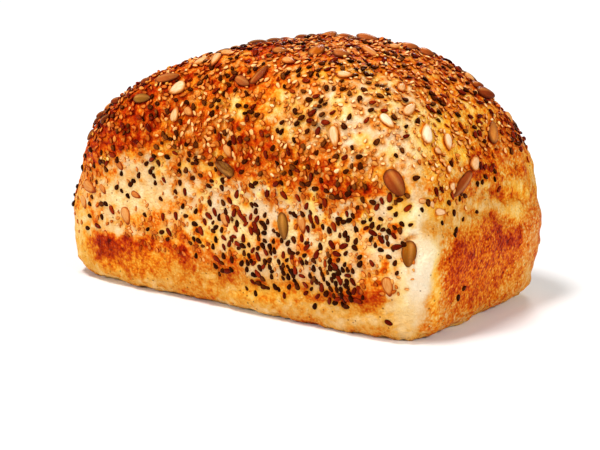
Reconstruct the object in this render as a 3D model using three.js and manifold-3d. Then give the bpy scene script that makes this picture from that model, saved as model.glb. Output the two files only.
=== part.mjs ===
// A multigrain sourdough loaf baked in a tin: one solid of bread, with the larger seeds of its
// crust baked in. Millimetres, +Z up, length along X. The origin is under the middle of the
// loaf, on the flat base that it rests on.

import * as THREE from 'three';
import { mergeVertices } from 'three/addons/utils/BufferGeometryUtils.js';
import Module from 'manifold-3d';

// The bread at its longest, widest and highest
const LENGTH = 216;
const WIDTH = 122.4;
const HEIGHT = 121.2;

// What the tin shaped: a rounded foot, and walls that lean out up to the widest level
const WIDEST_LEVEL = 35.5;
const TIN_LEAN = 3.6;
const FOOT_RADIUS = 9;

// What rose out of the tin: how full the dome is along and across (2 is an ellipse, more is
// squarer), how far its peak leans, and how that lean grows with height
const DOME_ALONG = 2;
const DOME_ACROSS = 2.93;
const PEAK_LEAN_ALONG = 16.2;
const PEAK_LEAN_ACROSS = -4.5;
const LEAN_GROWTH = 1.5;

// How square the level sections are, as the power of a superellipse
const CORNER_POWER_AT_BASE = 7.5;
const CORNER_POWER_AT_TOP = 4.3;

// The waist at the tin's rim, where the dough stretched as it rose
const WAIST_LEVEL = 52;
const WAIST_REACH = 12;
const WAIST_DEPTH = 1.8;

// Broad swellings and hollows of hand-shaped dough, which fade out towards the foot
const SWELLINGS = [
  { centre: [-82, -38, 92], reach: 34, rise: 2.6 },
  { centre: [-15, 8, 121], reach: 30, rise: -2 },
  { centre: [-60, 15, 112], reach: 26, rise: 0.8 },
  { centre: [52, 18, 113], reach: 32, rise: 1.2 },
  { centre: [98, 52, 28], reach: 30, rise: 1.2 },
  { centre: [-100, -55, 42], reach: 22, rise: -1 },
];
const SWELLING_FADE_LEVEL = 20;

// Spacing of the points that the bread's surface is drawn with
const SURFACE_STEP = 10.7;
const BISECTIONS = 40;

// Seeds, largest first: pumpkin, sunflower, then sesame and linseed. Taper is how much narrower
// the tip is, proud is the share of the thickness that stands out of the crust, spacing is the
// least distance between middles, and sides and rings are the facets of one seed.
const SEED_KINDS = [
  {
    length: 12.6, width: 7.2, thickness: 3.0, taper: 0.4, proud: 0.6,
    count: 46, spacing: 17, sides: 8, rings: 3,
  },
  {
    length: 8.6, width: 4.8, thickness: 2.8, taper: 0.45, proud: 0.6,
    count: 74, spacing: 10, sides: 6, rings: 3,
  },
  {
    length: 4.6, width: 2.7, thickness: 2.0, taper: 0.3, proud: 0.7,
    count: 120, spacing: 8, sides: 6, rings: 2,
  },
];
const SEED_TRIES = 6000;

// A linear congruential draw, so that the seeds fall in the same places each time
const DRAW_START = 20261;
const DRAW_FACTOR = 1664525;
const DRAW_STEP = 1013904223;
const DRAW_MODULUS = 2 ** 32;

// Seeds lie on the top and the long sides, and on the ends only over the tin's rim
const SEEDED_ABOVE = 30;
const SEEDED_ABOVE_ON_ENDS = 70;
const END_FACING = 0.72;

const CRUST_COLOUR = 0xc98b4a;
const CRUST_ROUGHNESS = 0.7;

const CENTRE = new THREE.Vector3(0, 0, HEIGHT / 2);

const wasm = await Module();
wasm.setup();

// Half length, half width, corner power and sideways lean of the level section at height z.
function section(z) {
  const rise = THREE.MathUtils.clamp((z - WIDEST_LEVEL) / (HEIGHT - WIDEST_LEVEL), 0, 1);
  const footDrop = 1 - Math.min(z / FOOT_RADIUS, 1);
  const foot = FOOT_RADIUS * (1 - Math.sqrt(1 - footDrop ** 2));
  const lean = TIN_LEAN * (1 - Math.min(z / WIDEST_LEVEL, 1));
  const waist = WAIST_DEPTH * Math.exp(-(((z - WAIST_LEVEL) / WAIST_REACH) ** 2));
  const inset = foot + lean + waist;
  return {
    halfLength: (LENGTH / 2 - inset) * (1 - rise ** DOME_ALONG) ** (1 / DOME_ALONG),
    halfWidth: (WIDTH / 2 - inset) * (1 - rise ** DOME_ACROSS) ** (1 / DOME_ACROSS),
    power: THREE.MathUtils.lerp(CORNER_POWER_AT_BASE, CORNER_POWER_AT_TOP, z / HEIGHT),
    along: PEAK_LEAN_ALONG * rise ** LEAN_GROWTH,
    across: PEAK_LEAN_ACROSS * rise ** LEAN_GROWTH,
  };
}

function isInBread(point) {
  if (point.z <= 0 || point.z >= HEIGHT) {
    return false;
  }
  const level = section(point.z);
  const u = Math.abs(point.x - level.along) / level.halfLength;
  const v = Math.abs(point.y - level.across) / level.halfWidth;
  return u ** level.power + v ** level.power < 1;
}

function swelling(point) {
  const fade = THREE.MathUtils.clamp(point.z / SWELLING_FADE_LEVEL, 0, 1);
  let rise = 0;
  for (const lump of SWELLINGS) {
    const distance = point.distanceTo(new THREE.Vector3(...lump.centre));
    rise += lump.rise * Math.exp(-((distance / lump.reach) ** 2));
  }
  return rise * fade;
}

// The point of the crust that is seen from the bread's centre in a given direction.
function crustPoint(direction) {
  const unit = direction.clone().normalize();
  let inner = 0;
  let outer = LENGTH;
  for (let i = 0; i < BISECTIONS; i += 1) {
    const middle = (inner + outer) / 2;
    if (isInBread(CENTRE.clone().addScaledVector(unit, middle))) {
      inner = middle;
    } else {
      outer = middle;
    }
  }
  const point = CENTRE.clone().addScaledVector(unit, inner);
  return point.addScaledVector(unit, swelling(point));
}

function closed(geometry) {
  geometry.deleteAttribute('normal');
  geometry.deleteAttribute('uv');
  return mergeVertices(geometry);
}

function solidFrom(geometry) {
  return new wasm.Manifold(new wasm.Mesh({
    numProp: 3,
    vertProperties: new Float32Array(geometry.attributes.position.array),
    triVerts: new Uint32Array(geometry.index.array),
  }));
}

// The bread is a box of dough whose every point is drawn in to the crust.
function makeBread() {
  const steps = [LENGTH, WIDTH, HEIGHT].map((side) => Math.round(side / SURFACE_STEP));
  const box = new THREE.BoxGeometry(LENGTH, WIDTH, HEIGHT, ...steps);
  const positions = box.attributes.position;
  const point = new THREE.Vector3();
  for (let i = 0; i < positions.count; i += 1) {
    const onCrust = crustPoint(point.fromBufferAttribute(positions, i));
    positions.setXYZ(i, onCrust.x, onCrust.y, onCrust.z);
  }
  return closed(box);
}

// One seed: a flattened drop that lies along X, with its narrow tip towards +X.
function makeSeed(kind) {
  const drop = new THREE.SphereGeometry(1, kind.sides, kind.rings);
  drop.rotateX(Math.PI / 2);
  const positions = drop.attributes.position;
  for (let i = 0; i < positions.count; i += 1) {
    const x = positions.getX(i);
    const slim = 1 - kind.taper * (x + 1) / 2;
    positions.setXYZ(i, x, positions.getY(i) * slim, positions.getZ(i));
  }
  drop.scale(kind.length / 2, kind.width / 2, kind.thickness / 2);
  return closed(drop);
}

// Numbers from 0 to 1.
function makeDraw() {
  let state = DRAW_START;
  return () => {
    state = (state * DRAW_FACTOR + DRAW_STEP) % DRAW_MODULUS;
    return state / DRAW_MODULUS;
  };
}

function carriesSeeds(point, normal) {
  const lowest = Math.abs(normal.x) > END_FACING ? SEEDED_ABOVE_ON_ENDS : SEEDED_ABOVE;
  return point.z > lowest;
}

// Where seeds lie: drawn points of the seeded crust that keep clear of those placed before. Each
// is found by looking out from the bread's centre, and lies flat on the facet that is seen there.
function placeSeeds(bread) {
  const facets = new THREE.Mesh(bread, new THREE.MeshBasicMaterial({ side: THREE.DoubleSide }));
  const look = new THREE.Raycaster();
  const draw = makeDraw();
  const placed = [];
  for (const kind of SEED_KINDS) {
    let left = kind.count;
    for (let i = 0; i < SEED_TRIES && left > 0; i += 1) {
      const x = (draw() - 0.5) * LENGTH;
      const y = (draw() - 0.5) * WIDTH;
      const z = (draw() - 0.5) * HEIGHT;
      const turn = draw() * 2 * Math.PI;
      look.set(CENTRE, new THREE.Vector3(x, y, z).normalize());
      const [seen] = look.intersectObject(facets);
      const normal = seen.face.normal;
      const isClear = placed.every((seed) => seed.point.distanceTo(seen.point) > kind.spacing);
      if (isClear && carriesSeeds(seen.point, normal)) {
        placed.push({ kind, point: seen.point, normal, turn });
        left -= 1;
      }
    }
  }
  return placed;
}

function seedSolid(seed) {
  const geometry = makeSeed(seed.kind);
  geometry.rotateZ(seed.turn);
  const upright = new THREE.Quaternion().setFromUnitVectors(new THREE.Vector3(0, 0, 1), seed.normal);
  geometry.applyQuaternion(upright);
  const lift = seed.kind.thickness * (seed.kind.proud - 0.5);
  const middle = seed.point.clone().addScaledVector(seed.normal, lift);
  geometry.translate(middle.x, middle.y, middle.z);
  return solidFrom(geometry);
}

function geometryFrom(solid) {
  const mesh = solid.getMesh();
  const geometry = new THREE.BufferGeometry();
  geometry.setAttribute('position', new THREE.BufferAttribute(mesh.vertProperties, 3));
  geometry.setIndex(new THREE.BufferAttribute(mesh.triVerts, 1));
  geometry.computeVertexNormals();
  return geometry;
}

function makeLoaf() {
  const bread = makeBread();
  let solid = solidFrom(bread);
  for (const seed of placeSeeds(bread)) {
    solid = solid.add(seedSolid(seed));
  }
  const material = new THREE.MeshStandardMaterial({
    color: CRUST_COLOUR,
    roughness: CRUST_ROUGHNESS,
    metalness: 0,
  });
  const loaf = new THREE.Mesh(geometryFrom(solid), material);
  loaf.name = 'loaf';
  return loaf;
}

const group = new THREE.Group();
group.add(makeLoaf());

export default group;
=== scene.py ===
import math

import bpy
import numpy as np
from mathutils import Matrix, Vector
from mathutils.bvhtree import BVHTree
from mathutils.kdtree import KDTree


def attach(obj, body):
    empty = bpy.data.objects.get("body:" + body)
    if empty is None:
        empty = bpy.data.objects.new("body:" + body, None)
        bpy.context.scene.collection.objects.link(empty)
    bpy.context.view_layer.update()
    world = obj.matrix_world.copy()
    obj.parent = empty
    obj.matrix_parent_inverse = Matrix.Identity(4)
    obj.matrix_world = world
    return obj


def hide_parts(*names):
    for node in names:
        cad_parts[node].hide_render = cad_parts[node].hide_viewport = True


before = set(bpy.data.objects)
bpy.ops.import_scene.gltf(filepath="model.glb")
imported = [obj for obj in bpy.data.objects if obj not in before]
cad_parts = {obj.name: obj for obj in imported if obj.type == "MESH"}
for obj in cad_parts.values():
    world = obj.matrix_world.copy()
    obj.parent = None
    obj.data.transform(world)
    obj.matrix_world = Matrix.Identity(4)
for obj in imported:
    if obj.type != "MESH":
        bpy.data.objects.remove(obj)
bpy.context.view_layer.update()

# The viewpoint
# The loaf is seen with a long lens from a little above, over its near right corner. The camera
# stands where the photograph was taken, so that what shows there can be placed by its pixel.
PHOTO_WIDTH = 600
PHOTO_HEIGHT = 450
SENSOR_WIDTH_MM = 36.0
VIEW_AZIMUTH = math.radians(35.85)
VIEW_ELEVATION = math.radians(14.83)
VIEW_DISTANCE = 1.0
VIEW_AIM = np.array([0.0, 0.0, 0.0288])
FOCAL_PIXELS = 2060.0

view_right = np.array([math.cos(VIEW_AZIMUTH), math.sin(VIEW_AZIMUTH), 0.0])
view_back = np.array([
    math.sin(VIEW_AZIMUTH) * math.cos(VIEW_ELEVATION),
    -math.cos(VIEW_AZIMUTH) * math.cos(VIEW_ELEVATION),
    math.sin(VIEW_ELEVATION),
])
view_up = np.cross(view_back, view_right)
eye = VIEW_AIM + VIEW_DISTANCE * view_back

camera = bpy.data.objects.new("photo_camera", bpy.data.cameras.new("photo_camera"))
camera.data.sensor_width = SENSOR_WIDTH_MM
camera.data.lens = FOCAL_PIXELS * SENSOR_WIDTH_MM / PHOTO_WIDTH
camera.location = eye
camera.rotation_euler = (math.pi / 2 - VIEW_ELEVATION, 0, VIEW_AZIMUTH)
bpy.context.collection.objects.link(camera)
bpy.context.scene.camera = camera


def photo_pixels(points):
    offset = points - eye
    depth = -(offset @ view_back)
    x = PHOTO_WIDTH / 2 + FOCAL_PIXELS * (offset @ view_right) / depth
    y = PHOTO_HEIGHT / 2 - FOCAL_PIXELS * (offset @ view_up) / depth
    return np.stack([x, y], axis=1)


def sight_line(x, y):
    across = (x - PHOTO_WIDTH / 2) / FOCAL_PIXELS
    upward = (PHOTO_HEIGHT / 2 - y) / FOCAL_PIXELS
    return across * view_right + upward * view_up - view_back


# The bread
# One risen piece of sourdough, baked in a tin: square walls where the tin held it, a waist at the
# tin's rim, and a dome that rose out of it. The crust runs from pale cream, where the dough
# stretched or didn't touch the tin, to red-brown.
MM = 0.001
LENGTH = 216 * MM
WIDTH = 122.4 * MM
HEIGHT = 121.2 * MM
WIDEST_LEVEL = 35.5 * MM
TIN_LEAN = 3.6 * MM
FOOT_RADIUS = 9 * MM
DOME_ALONG = 2.0
DOME_ACROSS = 2.93
PEAK_LEAN_ALONG = 16.2 * MM
PEAK_LEAN_ACROSS = -4.5 * MM
LEAN_GROWTH = 1.5
CORNER_POWER_AT_BASE = 7.5
CORNER_POWER_AT_TOP = 4.3
WAIST_LEVEL = 52 * MM
WAIST_REACH = 12 * MM
WAIST_DEPTH = 1.8 * MM
SWELLINGS = [  # centre, reach and rise in millimetres
    ((-82, -38, 92), 34, 2.6),
    ((-15, 8, 121), 30, -2.0),
    ((-60, 15, 112), 26, 0.8),
    ((52, 18, 113), 32, 1.2),
    ((98, 52, 28), 30, 1.2),
    ((-100, -55, 42), 22, -1.0),
]
SWELLING_FADE_LEVEL = 20 * MM
CRUST_STEP = 1.2 * MM
BISECTIONS = 34
BEYOND_CRUST = 1.5
LEAST_HALF = MM / 1000
bread_centre = np.array([0.0, 0.0, HEIGHT / 2])


def level_section(z):
    """Half length, half width, corner power and lean of the bread's level section at height z."""
    rise = np.clip((z - WIDEST_LEVEL) / (HEIGHT - WIDEST_LEVEL), 0, 1)
    foot_drop = 1 - np.clip(z / FOOT_RADIUS, 0, 1)
    inset = FOOT_RADIUS * (1 - np.sqrt(1 - foot_drop**2))
    inset = inset + TIN_LEAN * (1 - np.clip(z / WIDEST_LEVEL, 0, 1))
    inset = inset + WAIST_DEPTH * np.exp(-(((z - WAIST_LEVEL) / WAIST_REACH) ** 2))
    half_length = (LENGTH / 2 - inset) * (1 - rise**DOME_ALONG) ** (1 / DOME_ALONG)
    half_width = (WIDTH / 2 - inset) * (1 - rise**DOME_ACROSS) ** (1 / DOME_ACROSS)
    power = CORNER_POWER_AT_BASE + (CORNER_POWER_AT_TOP - CORNER_POWER_AT_BASE) * z / HEIGHT
    lean = rise**LEAN_GROWTH
    return half_length, half_width, power, PEAK_LEAN_ALONG * lean, PEAK_LEAN_ACROSS * lean


def section_place(points):
    """How far each point is along and across its level section, where 1 is the crust's face."""
    half_length, half_width, power, along, across = level_section(np.clip(points[:, 2], 0, HEIGHT))
    u = (points[:, 0] - along) / np.maximum(half_length, LEAST_HALF)
    v = (points[:, 1] - across) / np.maximum(half_width, LEAST_HALF)
    return u, v, power


def is_in_bread(points):
    u, v, power = section_place(points)
    is_between = (points[:, 2] > 0) & (points[:, 2] < HEIGHT)
    return is_between & (np.abs(u) ** power + np.abs(v) ** power < 1)


def drawn_to_crust(points):
    """Each point moved along its line from the bread's centre until it lies on the crust."""
    reach = points - bread_centre
    inner = np.zeros(len(points))
    outer = np.full(len(points), BEYOND_CRUST)
    for _ in range(BISECTIONS):
        middle = (inner + outer) / 2
        is_in = is_in_bread(bread_centre + reach * middle[:, None])
        inner = np.where(is_in, middle, inner)
        outer = np.where(is_in, outer, middle)
    crust = bread_centre + reach * inner[:, None]
    rise = np.zeros(len(points))
    for centre, swelling_reach, swelling_rise in SWELLINGS:
        distance = np.linalg.norm(crust - np.array(centre) * MM, axis=1)
        rise += swelling_rise * MM * np.exp(-((distance / (swelling_reach * MM)) ** 2))
    rise *= np.clip(crust[:, 2] / SWELLING_FADE_LEVEL, 0, 1)
    return crust + rise[:, None] * reach / np.linalg.norm(reach, axis=1)[:, None]


def sheet_quads(sheet, is_flipped):
    quads = np.stack([sheet[:-1, :-1], sheet[1:, :-1], sheet[1:, 1:], sheet[:-1, 1:]], axis=-1)
    quads = quads.reshape(-1, 4)
    return quads[:, ::-1] if is_flipped else quads


def dough_box(steps):
    """Points of a box's faces, from -0.5 to 0.5 each way, and the quads between them."""
    i, j, k = np.indices([n + 1 for n in steps])
    is_face = (i % steps[0] == 0) | (j % steps[1] == 0) | (k % steps[2] == 0)
    number = np.full(is_face.shape, -1)
    number[is_face] = np.arange(is_face.sum())
    points = np.stack([i[is_face], j[is_face], k[is_face]], axis=1) / np.array(steps) - 0.5
    sheets = [
        (number[:, :, -1], False), (number[:, :, 0], True),
        (number[-1, :, :], False), (number[0, :, :], True),
        (number[:, 0, :], False), (number[:, -1, :], True),
    ]
    return points, np.concatenate([sheet_quads(*sheet) for sheet in sheets])


def point_normals(points, faces):
    corners = points[faces]
    normals = np.cross(corners[:, 2] - corners[:, 0], corners[:, -1] - corners[:, 1])
    total = np.zeros_like(points)
    for corner in range(faces.shape[1]):
        np.add.at(total, faces[:, corner], normals)
    return total / np.linalg.norm(total, axis=1)[:, None]


NOISE_SEED = 11
SLOPE_COUNT = 256
LAYER_STEP = 31.7
NOISE_GAIN = 1.7
noise_draw = np.random.default_rng(NOISE_SEED)
noise_slopes = noise_draw.normal(size=(SLOPE_COUNT, 3))
noise_slopes /= np.linalg.norm(noise_slopes, axis=1)[:, None]
noise_order = noise_draw.permutation(SLOPE_COUNT)


def dough_noise(points, size, layer):
    """Smooth uneven swelling from about -1 to 1, with lumps of the given size."""
    place = points / size + layer * LAYER_STEP
    cell = np.floor(place).astype(int)
    part = place - cell
    ease = part**3 * (part * (part * 6 - 15) + 10)
    total = np.zeros(len(points))
    for corner in np.ndindex(2, 2, 2):
        pick = 0
        for at in (cell + corner).T:
            pick = noise_order[(pick + at) % SLOPE_COUNT]
        weight = np.prod(np.where(np.array(corner) == 1, ease, 1 - ease), axis=1)
        total += weight * ((part - corner) * noise_slopes[pick]).sum(axis=1)
    return total * NOISE_GAIN


def ramp_up(values, low, high):
    """0 under low, 1 over high, and smooth between them."""
    part = np.clip((values - low) / (high - low), 0, 1)
    return part * part * (3 - 2 * part)


crust_steps = [round(side / CRUST_STEP) for side in (LENGTH, WIDTH, HEIGHT)]
box_points, crust_quads = dough_box(crust_steps)
form_points = drawn_to_crust(box_points * [LENGTH, WIDTH, HEIGHT] + bread_centre)
form_normals = point_normals(form_points, crust_quads)
level = form_points[:, 2]


def level_ramp(low, high):
    """0 for the crust under the low level and 1 for that over the high one, both in millimetres."""
    return ramp_up(level, low * MM, high * MM)


def swell(size, layer):
    """Uneven swelling of the crust with lumps of a size in millimetres, another for each layer."""
    return dough_noise(form_points, size * MM, layer)


# Where each point of the crust shows in the photograph, with its place made uneven, so that what
# is drawn by pixels has no smooth edges
WARP_PIXELS = 4
WARP_SIZE = 13
FINE_WARP_SIZE = 5
FINE_WARP_SHARE = 0.6
WARP_LAYERS = (6, 8)
TURNED_TO_VIEW = (-0.05, 0.15)
STROKE_FALL = 1.5
facing_view = ramp_up(form_normals @ view_back, *TURNED_TO_VIEW)
warps = [
    swell(WARP_SIZE, layer) + FINE_WARP_SHARE * swell(FINE_WARP_SIZE, layer + 1) for layer in WARP_LAYERS
]
stroke_pixels = photo_pixels(form_points) + WARP_PIXELS * np.stack(warps, axis=1)


def stroke_weight(x, y, half_width, half_height):
    """1 in the middle of an oval stroke on the photograph, and 0 well outside it."""
    spread = ((stroke_pixels - [x, y]) / [half_width, half_height]) ** 2
    return facing_view * np.exp(-(spread.sum(axis=1) ** STROKE_FALL))


def crease_weight(start, end, half_width):
    """1 along a straight crease on the photograph, and 0 well away from it."""
    start = np.array(start)
    way = np.array(end) - start
    share = np.clip((stroke_pixels - start) @ way / (way @ way), 0, 1)
    distance = np.linalg.norm(stroke_pixels - start - share[:, None] * way, axis=1)
    return facing_view * np.exp(-((distance / half_width) ** 2))


# Relief of the crust in millimetres: lumps, pebbles, stretch marks and creases. The tin pressed
# the walls smoother than the dome.
LUMPS = [  # size, layer of noise, rise on the walls and further rise on the dome
    (27, 1, 0.9, 0.0),
    (10, 2, 0.6, 0.0),
    (4.8, 3, 0.2, 0.26),
    (2.8, 4, 0.16, 0.26),
]
RISEN_LEVELS = (46, 66)
TURNED_TO_END = (0.6, 0.8)
STRETCH_LEVEL = 56 * MM
STRETCH_REACH = 7 * MM
STRETCHED = (1.0, 1.0, 0.4)
STREAK_SIZE = 4.2 * MM
STREAK_LAYER = 5
STREAK_RISE = 0.4
STREAK_RISE_ON_END = 0.4
CREASES = [  # ends as pixels of the photograph, half width in pixels, depth in millimetres
    ((403, 241), (416, 239), 1.8, 1.6),
    ((463, 209), (528, 224), 3.0, 0.9),
    ((486, 190), (523, 201), 2.6, 1.1),
]
# The pale stripe where the near corner stood clear of the tin, by its ends and half width in pixels
CORNER_STRIPE = ((408, 327), (427, 250), 13)
STRIPE_FILL = 1.4
# The foot is lumpy, where dough ran into the tin's corner, and so is the near corner's stripe
FOOT_LEVELS = (7, 15)
FOOT_LUMP_SIZE = 4.4
FOOT_LUMP_LAYER = 16
FOOT_CRUMB_SIZE = 2.4
FOOT_CRUMB_LAYER = 17
FOOT_CRUMB_SHARE = 0.7
FOOT_RISE = 0.7
STRIPE_RISE = 0.45
# On the far edge of the end the dome's dough hangs over the waist
OVERHANG_CENTRE = np.array([104, 42, 54]) * MM
OVERHANG_REACH = 20 * MM
OVERHANG_RISE = 1.5
FLAT_BASE_LEVEL = 0.8

risen = level_ramp(*RISEN_LEVELS)
end_facing = ramp_up(np.abs(form_normals[:, 0]), *TURNED_TO_END)
stretch = np.exp(-(((level - STRETCH_LEVEL) / STRETCH_REACH) ** 2))
streak = dough_noise(form_points * STRETCHED, STREAK_SIZE, STREAK_LAYER)
crease = np.zeros(len(form_points))
for start, end, half_width, depth in CREASES:
    crease = np.maximum(crease, depth * crease_weight(start, end, half_width))
foot = 1 - level_ramp(*FOOT_LEVELS)
foot_lumps = swell(FOOT_LUMP_SIZE, FOOT_LUMP_LAYER)
foot_lumps += FOOT_CRUMB_SHARE * swell(FOOT_CRUMB_SIZE, FOOT_CRUMB_LAYER)
stripe = np.minimum(STRIPE_FILL * crease_weight(*CORNER_STRIPE), 1)
overhang = np.linalg.norm(form_points - OVERHANG_CENTRE, axis=1) / OVERHANG_REACH

relief = np.zeros(len(form_points))
for size, layer, on_wall, on_dome in LUMPS:
    relief += (on_wall + on_dome * risen) * swell(size, layer)
relief += (STREAK_RISE + STREAK_RISE_ON_END * end_facing) * stretch * streak
relief -= crease
relief += (FOOT_RISE * foot + STRIPE_RISE * stripe) * foot_lumps
relief += OVERHANG_RISE * np.exp(-(overhang**2))
relief *= MM * level_ramp(0, FLAT_BASE_LEVEL)
crust_points = form_points + form_normals * relief[:, None]
crust_points[:, 2] = np.maximum(crust_points[:, 2], 0)

# How far each part of the crust is baked, with painted shade added in its creases, grooves and around its
# seeds: 0 is pale cream and 1 is dark red-brown
BAKE_LEVELS = np.array([0, 8, 20, 38, 46, 52, 60, 70, 84, 102, 121]) * MM
BAKE_AT_LEVELS = [0.3, 0.38, 0.44, 0.44, 0.34, 0.24, 0.28, 0.52, 0.6, 0.54, 0.48]
BROAD_BAKE_SIZE = 30
BROAD_BAKE_LAYER = 10
BROAD_BAKE = 0.3
# The loaf's upright corners stood clear of the tin and stayed pale, less so at the foot of the
# near one
CORNER_PLACE = (0.74, 0.9)
CORNER_FROM_LEVELS = (4, 16)
CORNER_TO_LEVELS = (50, 66)
CORNER_BAKE = 0.03
STRIPE_BAKE_AT_FOOT = 0.17
STRIPE_LEVELS = (5, 32)
# Strokes of baking that show in the photograph: pixel, half width, half height, and bake there
BAKE_STROKES = [
    # the dome, from the left
    (125, 120, 45, 35, 0.74), (140, 115, 18, 14, 0.7), (100, 150, 18, 14, 0.68), (88, 168, 10, 20, 0.56),
    (105, 164, 18, 9, 0.43), (196, 86, 34, 26, 0.6), (190, 128, 32, 20, 0.48), (168, 101, 14, 10, 0.46),
    (160, 142, 20, 12, 0.52), (238, 75, 26, 28, 0.48), (215, 105, 20, 16, 0.43), (238, 106, 12, 12, 0.24),
    (222, 138, 24, 16, 0.44), (252, 143, 14, 14, 0.64), (290, 62, 40, 14, 0.5), (280, 104, 24, 24, 0.27),
    (300, 100, 14, 16, 0.26), (256, 106, 11, 14, 0.5), (268, 128, 10, 8, 0.46), (288, 130, 16, 14, 0.3),
    (320, 50, 110, 12, 0.48), (267, 48, 18, 9, 0.78), (360, 58, 16, 7, 0.54), (415, 64, 30, 12, 0.5),
    (318, 72, 22, 10, 0.4), (355, 80, 28, 12, 0.28), (345, 108, 52, 28, 0.18), (335, 138, 46, 22, 0.21),
    (380, 122, 40, 36, 0.2), (378, 155, 32, 18, 0.2), (392, 88, 18, 14, 0.22), (410, 100, 18, 18, 0.2),
    (405, 145, 24, 34, 0.12), (428, 130, 18, 28, 0.14), (442, 144, 20, 18, 0.2), (450, 82, 36, 22, 0.46),
    (468, 110, 26, 20, 0.31), (482, 134, 16, 14, 0.29), (486, 97, 12, 8, 0.5), (512, 138, 10, 20, 0.54),
    (506, 165, 16, 12, 0.46), (461, 151, 12, 8, 0.34),
    # the shoulder under it
    (205, 165, 40, 12, 0.46), (235, 158, 20, 12, 0.56), (285, 160, 40, 14, 0.57), (300, 178, 50, 12, 0.6),
    (337, 182, 18, 10, 0.72), (357, 194, 14, 8, 0.8), (320, 150, 24, 9, 0.42), (368, 166, 20, 10, 0.3),
    (345, 192, 22, 8, 0.68), (376, 190, 14, 8, 0.66), (285, 196, 22, 8, 0.36), (315, 198, 18, 7, 0.35),
    (408, 168, 20, 16, 0.2), (436, 168, 20, 14, 0.32), (466, 162, 16, 10, 0.26), (452, 194, 12, 10, 0.46),
    (411, 190, 11, 9, 0.34), (470, 188, 14, 10, 0.5), (500, 182, 18, 12, 0.42), (486, 190, 10, 8, 0.2),
    # the pale dough at the waist
    (132, 196, 40, 26, 0.17), (135, 168, 26, 8, 0.2), (110, 207, 22, 16, 0.19), (80, 206, 10, 26, 0.3),
    (80, 236, 9, 20, 0.22), (182, 170, 18, 14, 0.29), (188, 205, 18, 24, 0.21), (172, 208, 9, 9, 0.34),
    (248, 200, 34, 18, 0.15), (285, 212, 20, 11, 0.12), (320, 212, 20, 10, 0.13), (340, 210, 16, 8, 0.12),
    (362, 207, 14, 9, 0.34), (388, 214, 14, 14, 0.16), (415, 220, 15, 26, 0.0), (440, 208, 12, 16, 0.37),
    (425, 254, 9, 26, 0.15), (476, 203, 18, 8, 0.38),
    # the seeded dough of the long wall
    (220, 228, 34, 24, 0.16), (265, 236, 34, 26, 0.21), (312, 238, 40, 26, 0.15), (340, 230, 16, 12, 0.1),
    (362, 246, 34, 26, 0.22), (300, 268, 34, 14, 0.22), (335, 275, 26, 16, 0.16),
    (376, 262, 20, 12, 0.32), (386, 248, 14, 20, 0.08), (262, 268, 20, 14, 0.2), (240, 254, 12, 9, 0.2),
    (162, 236, 24, 8, 0.2), (206, 240, 13, 13, 0.33), (251, 238, 12, 9, 0.3), (116, 229, 26, 6, 0.17),
    # the long wall that the tin browned
    (132, 253, 40, 15, 0.6), (118, 245, 24, 9, 0.7), (106, 247, 14, 10, 0.88), (120, 248, 14, 8, 0.76),
    (80, 258, 8, 14, 0.24), (150, 268, 34, 7, 0.48), (166, 246, 11, 9, 0.42), (182, 256, 6, 12, 0.76),
    (200, 262, 20, 9, 0.46), (208, 274, 14, 8, 0.4), (220, 264, 9, 9, 0.64), (232, 272, 9, 6, 0.6),
    (254, 284, 12, 6, 0.62), (225, 288, 24, 6, 0.33), (290, 292, 18, 6, 0.56), (316, 298, 12, 7, 0.7),
    (336, 298, 14, 7, 0.72), (356, 297, 14, 8, 0.78), (375, 296, 14, 10, 0.76), (377, 284, 9, 7, 0.5),
    (380, 300, 8, 6, 0.74), (390, 296, 8, 10, 0.38), (388, 276, 8, 8, 0.26), (300, 306, 28, 7, 0.24),
    # In the next row the stroke at (403, 335) is painted contact shade at the near corner's foot as well as
    # browning
    (355, 320, 34, 7, 0.2), (268, 302, 18, 5, 0.4), (300, 299, 14, 6, 0.4), (403, 335, 24, 7, 0.42),
    (245, 291, 16, 6, 0.32), (405, 274, 8, 20, 0.12),
    # the end
    (482, 262, 42, 44, 0.56), (460, 268, 12, 30, 0.64), (496, 240, 18, 10, 0.66), (502, 242, 8, 7, 0.76),
    (494, 222, 4, 11, 0.72), (500, 229, 3, 9, 0.8), (509, 238, 4, 7, 0.8), (518, 240, 4, 7, 0.7),
    (484, 224, 6, 7, 0.56), (474, 221, 6, 6, 0.46), (478, 289, 26, 14, 0.61), (512, 262, 12, 12, 0.54),
    (526, 251, 9, 16, 0.56), (470, 256, 7, 6, 0.72), (460, 248, 9, 10, 0.7), (450, 246, 5, 10, 0.5),
    (470, 312, 36, 8, 0.42), (505, 291, 22, 11, 0.4), (529, 232, 9, 36, 0.38), (527, 278, 8, 22, 0.32),
    (438, 262, 4, 34, 0.36), (436, 300, 6, 24, 0.36), (455, 222, 8, 10, 0.29), (488, 206, 18, 7, 0.24),
    (514, 212, 11, 12, 0.22), (500, 192, 16, 5, 0.52), (516, 192, 8, 5, 0.36), (520, 202, 6, 8, 0.34),
    (518, 174, 10, 9, 0.5),
]
STROKE_STRENGTH = 0.95
# Dough between the seeds of the walls browned in small blotches, fewer in the pale patch on the left
PALE_PATCH = (134, 198, 62, 32)
SEEDED_FROM_LEVELS = (20, 30)
SEEDED_TO_LEVELS = (58, 72)
BLOTCH_SIZE = 4.6
BLOTCH_LAYER = 15
BLOTCH_EDGE = (0.1, 0.5)
BLOTCH_BAKE = 0.3
BLOTCH_LESS_IN_PATCH = 0.85
# Browned crust is mottled, most on the dome and least on the ends
MOTTLES = [(11, 12, 0.12), (4.5, 13, 0.2), (2.6, 14, 0.2)]  # size, layer of noise, strength
MOTTLED_BAKE = (0.02, 0.4)
MOTTLED_ON_WALL = 0.75
MOTTLED_LESS_ON_END = 0.45
# Painted shade darkens the creases, and the grooves between the stretch streaks of the ends
CREASE_SHADE = 0.12
STREAK_GROOVE_SHADE = 0.16
FOOT_LUMP_BAKE = 0.1
END_BAKE = 0.05
END_BAKED = (0.3, 0.6)

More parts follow.
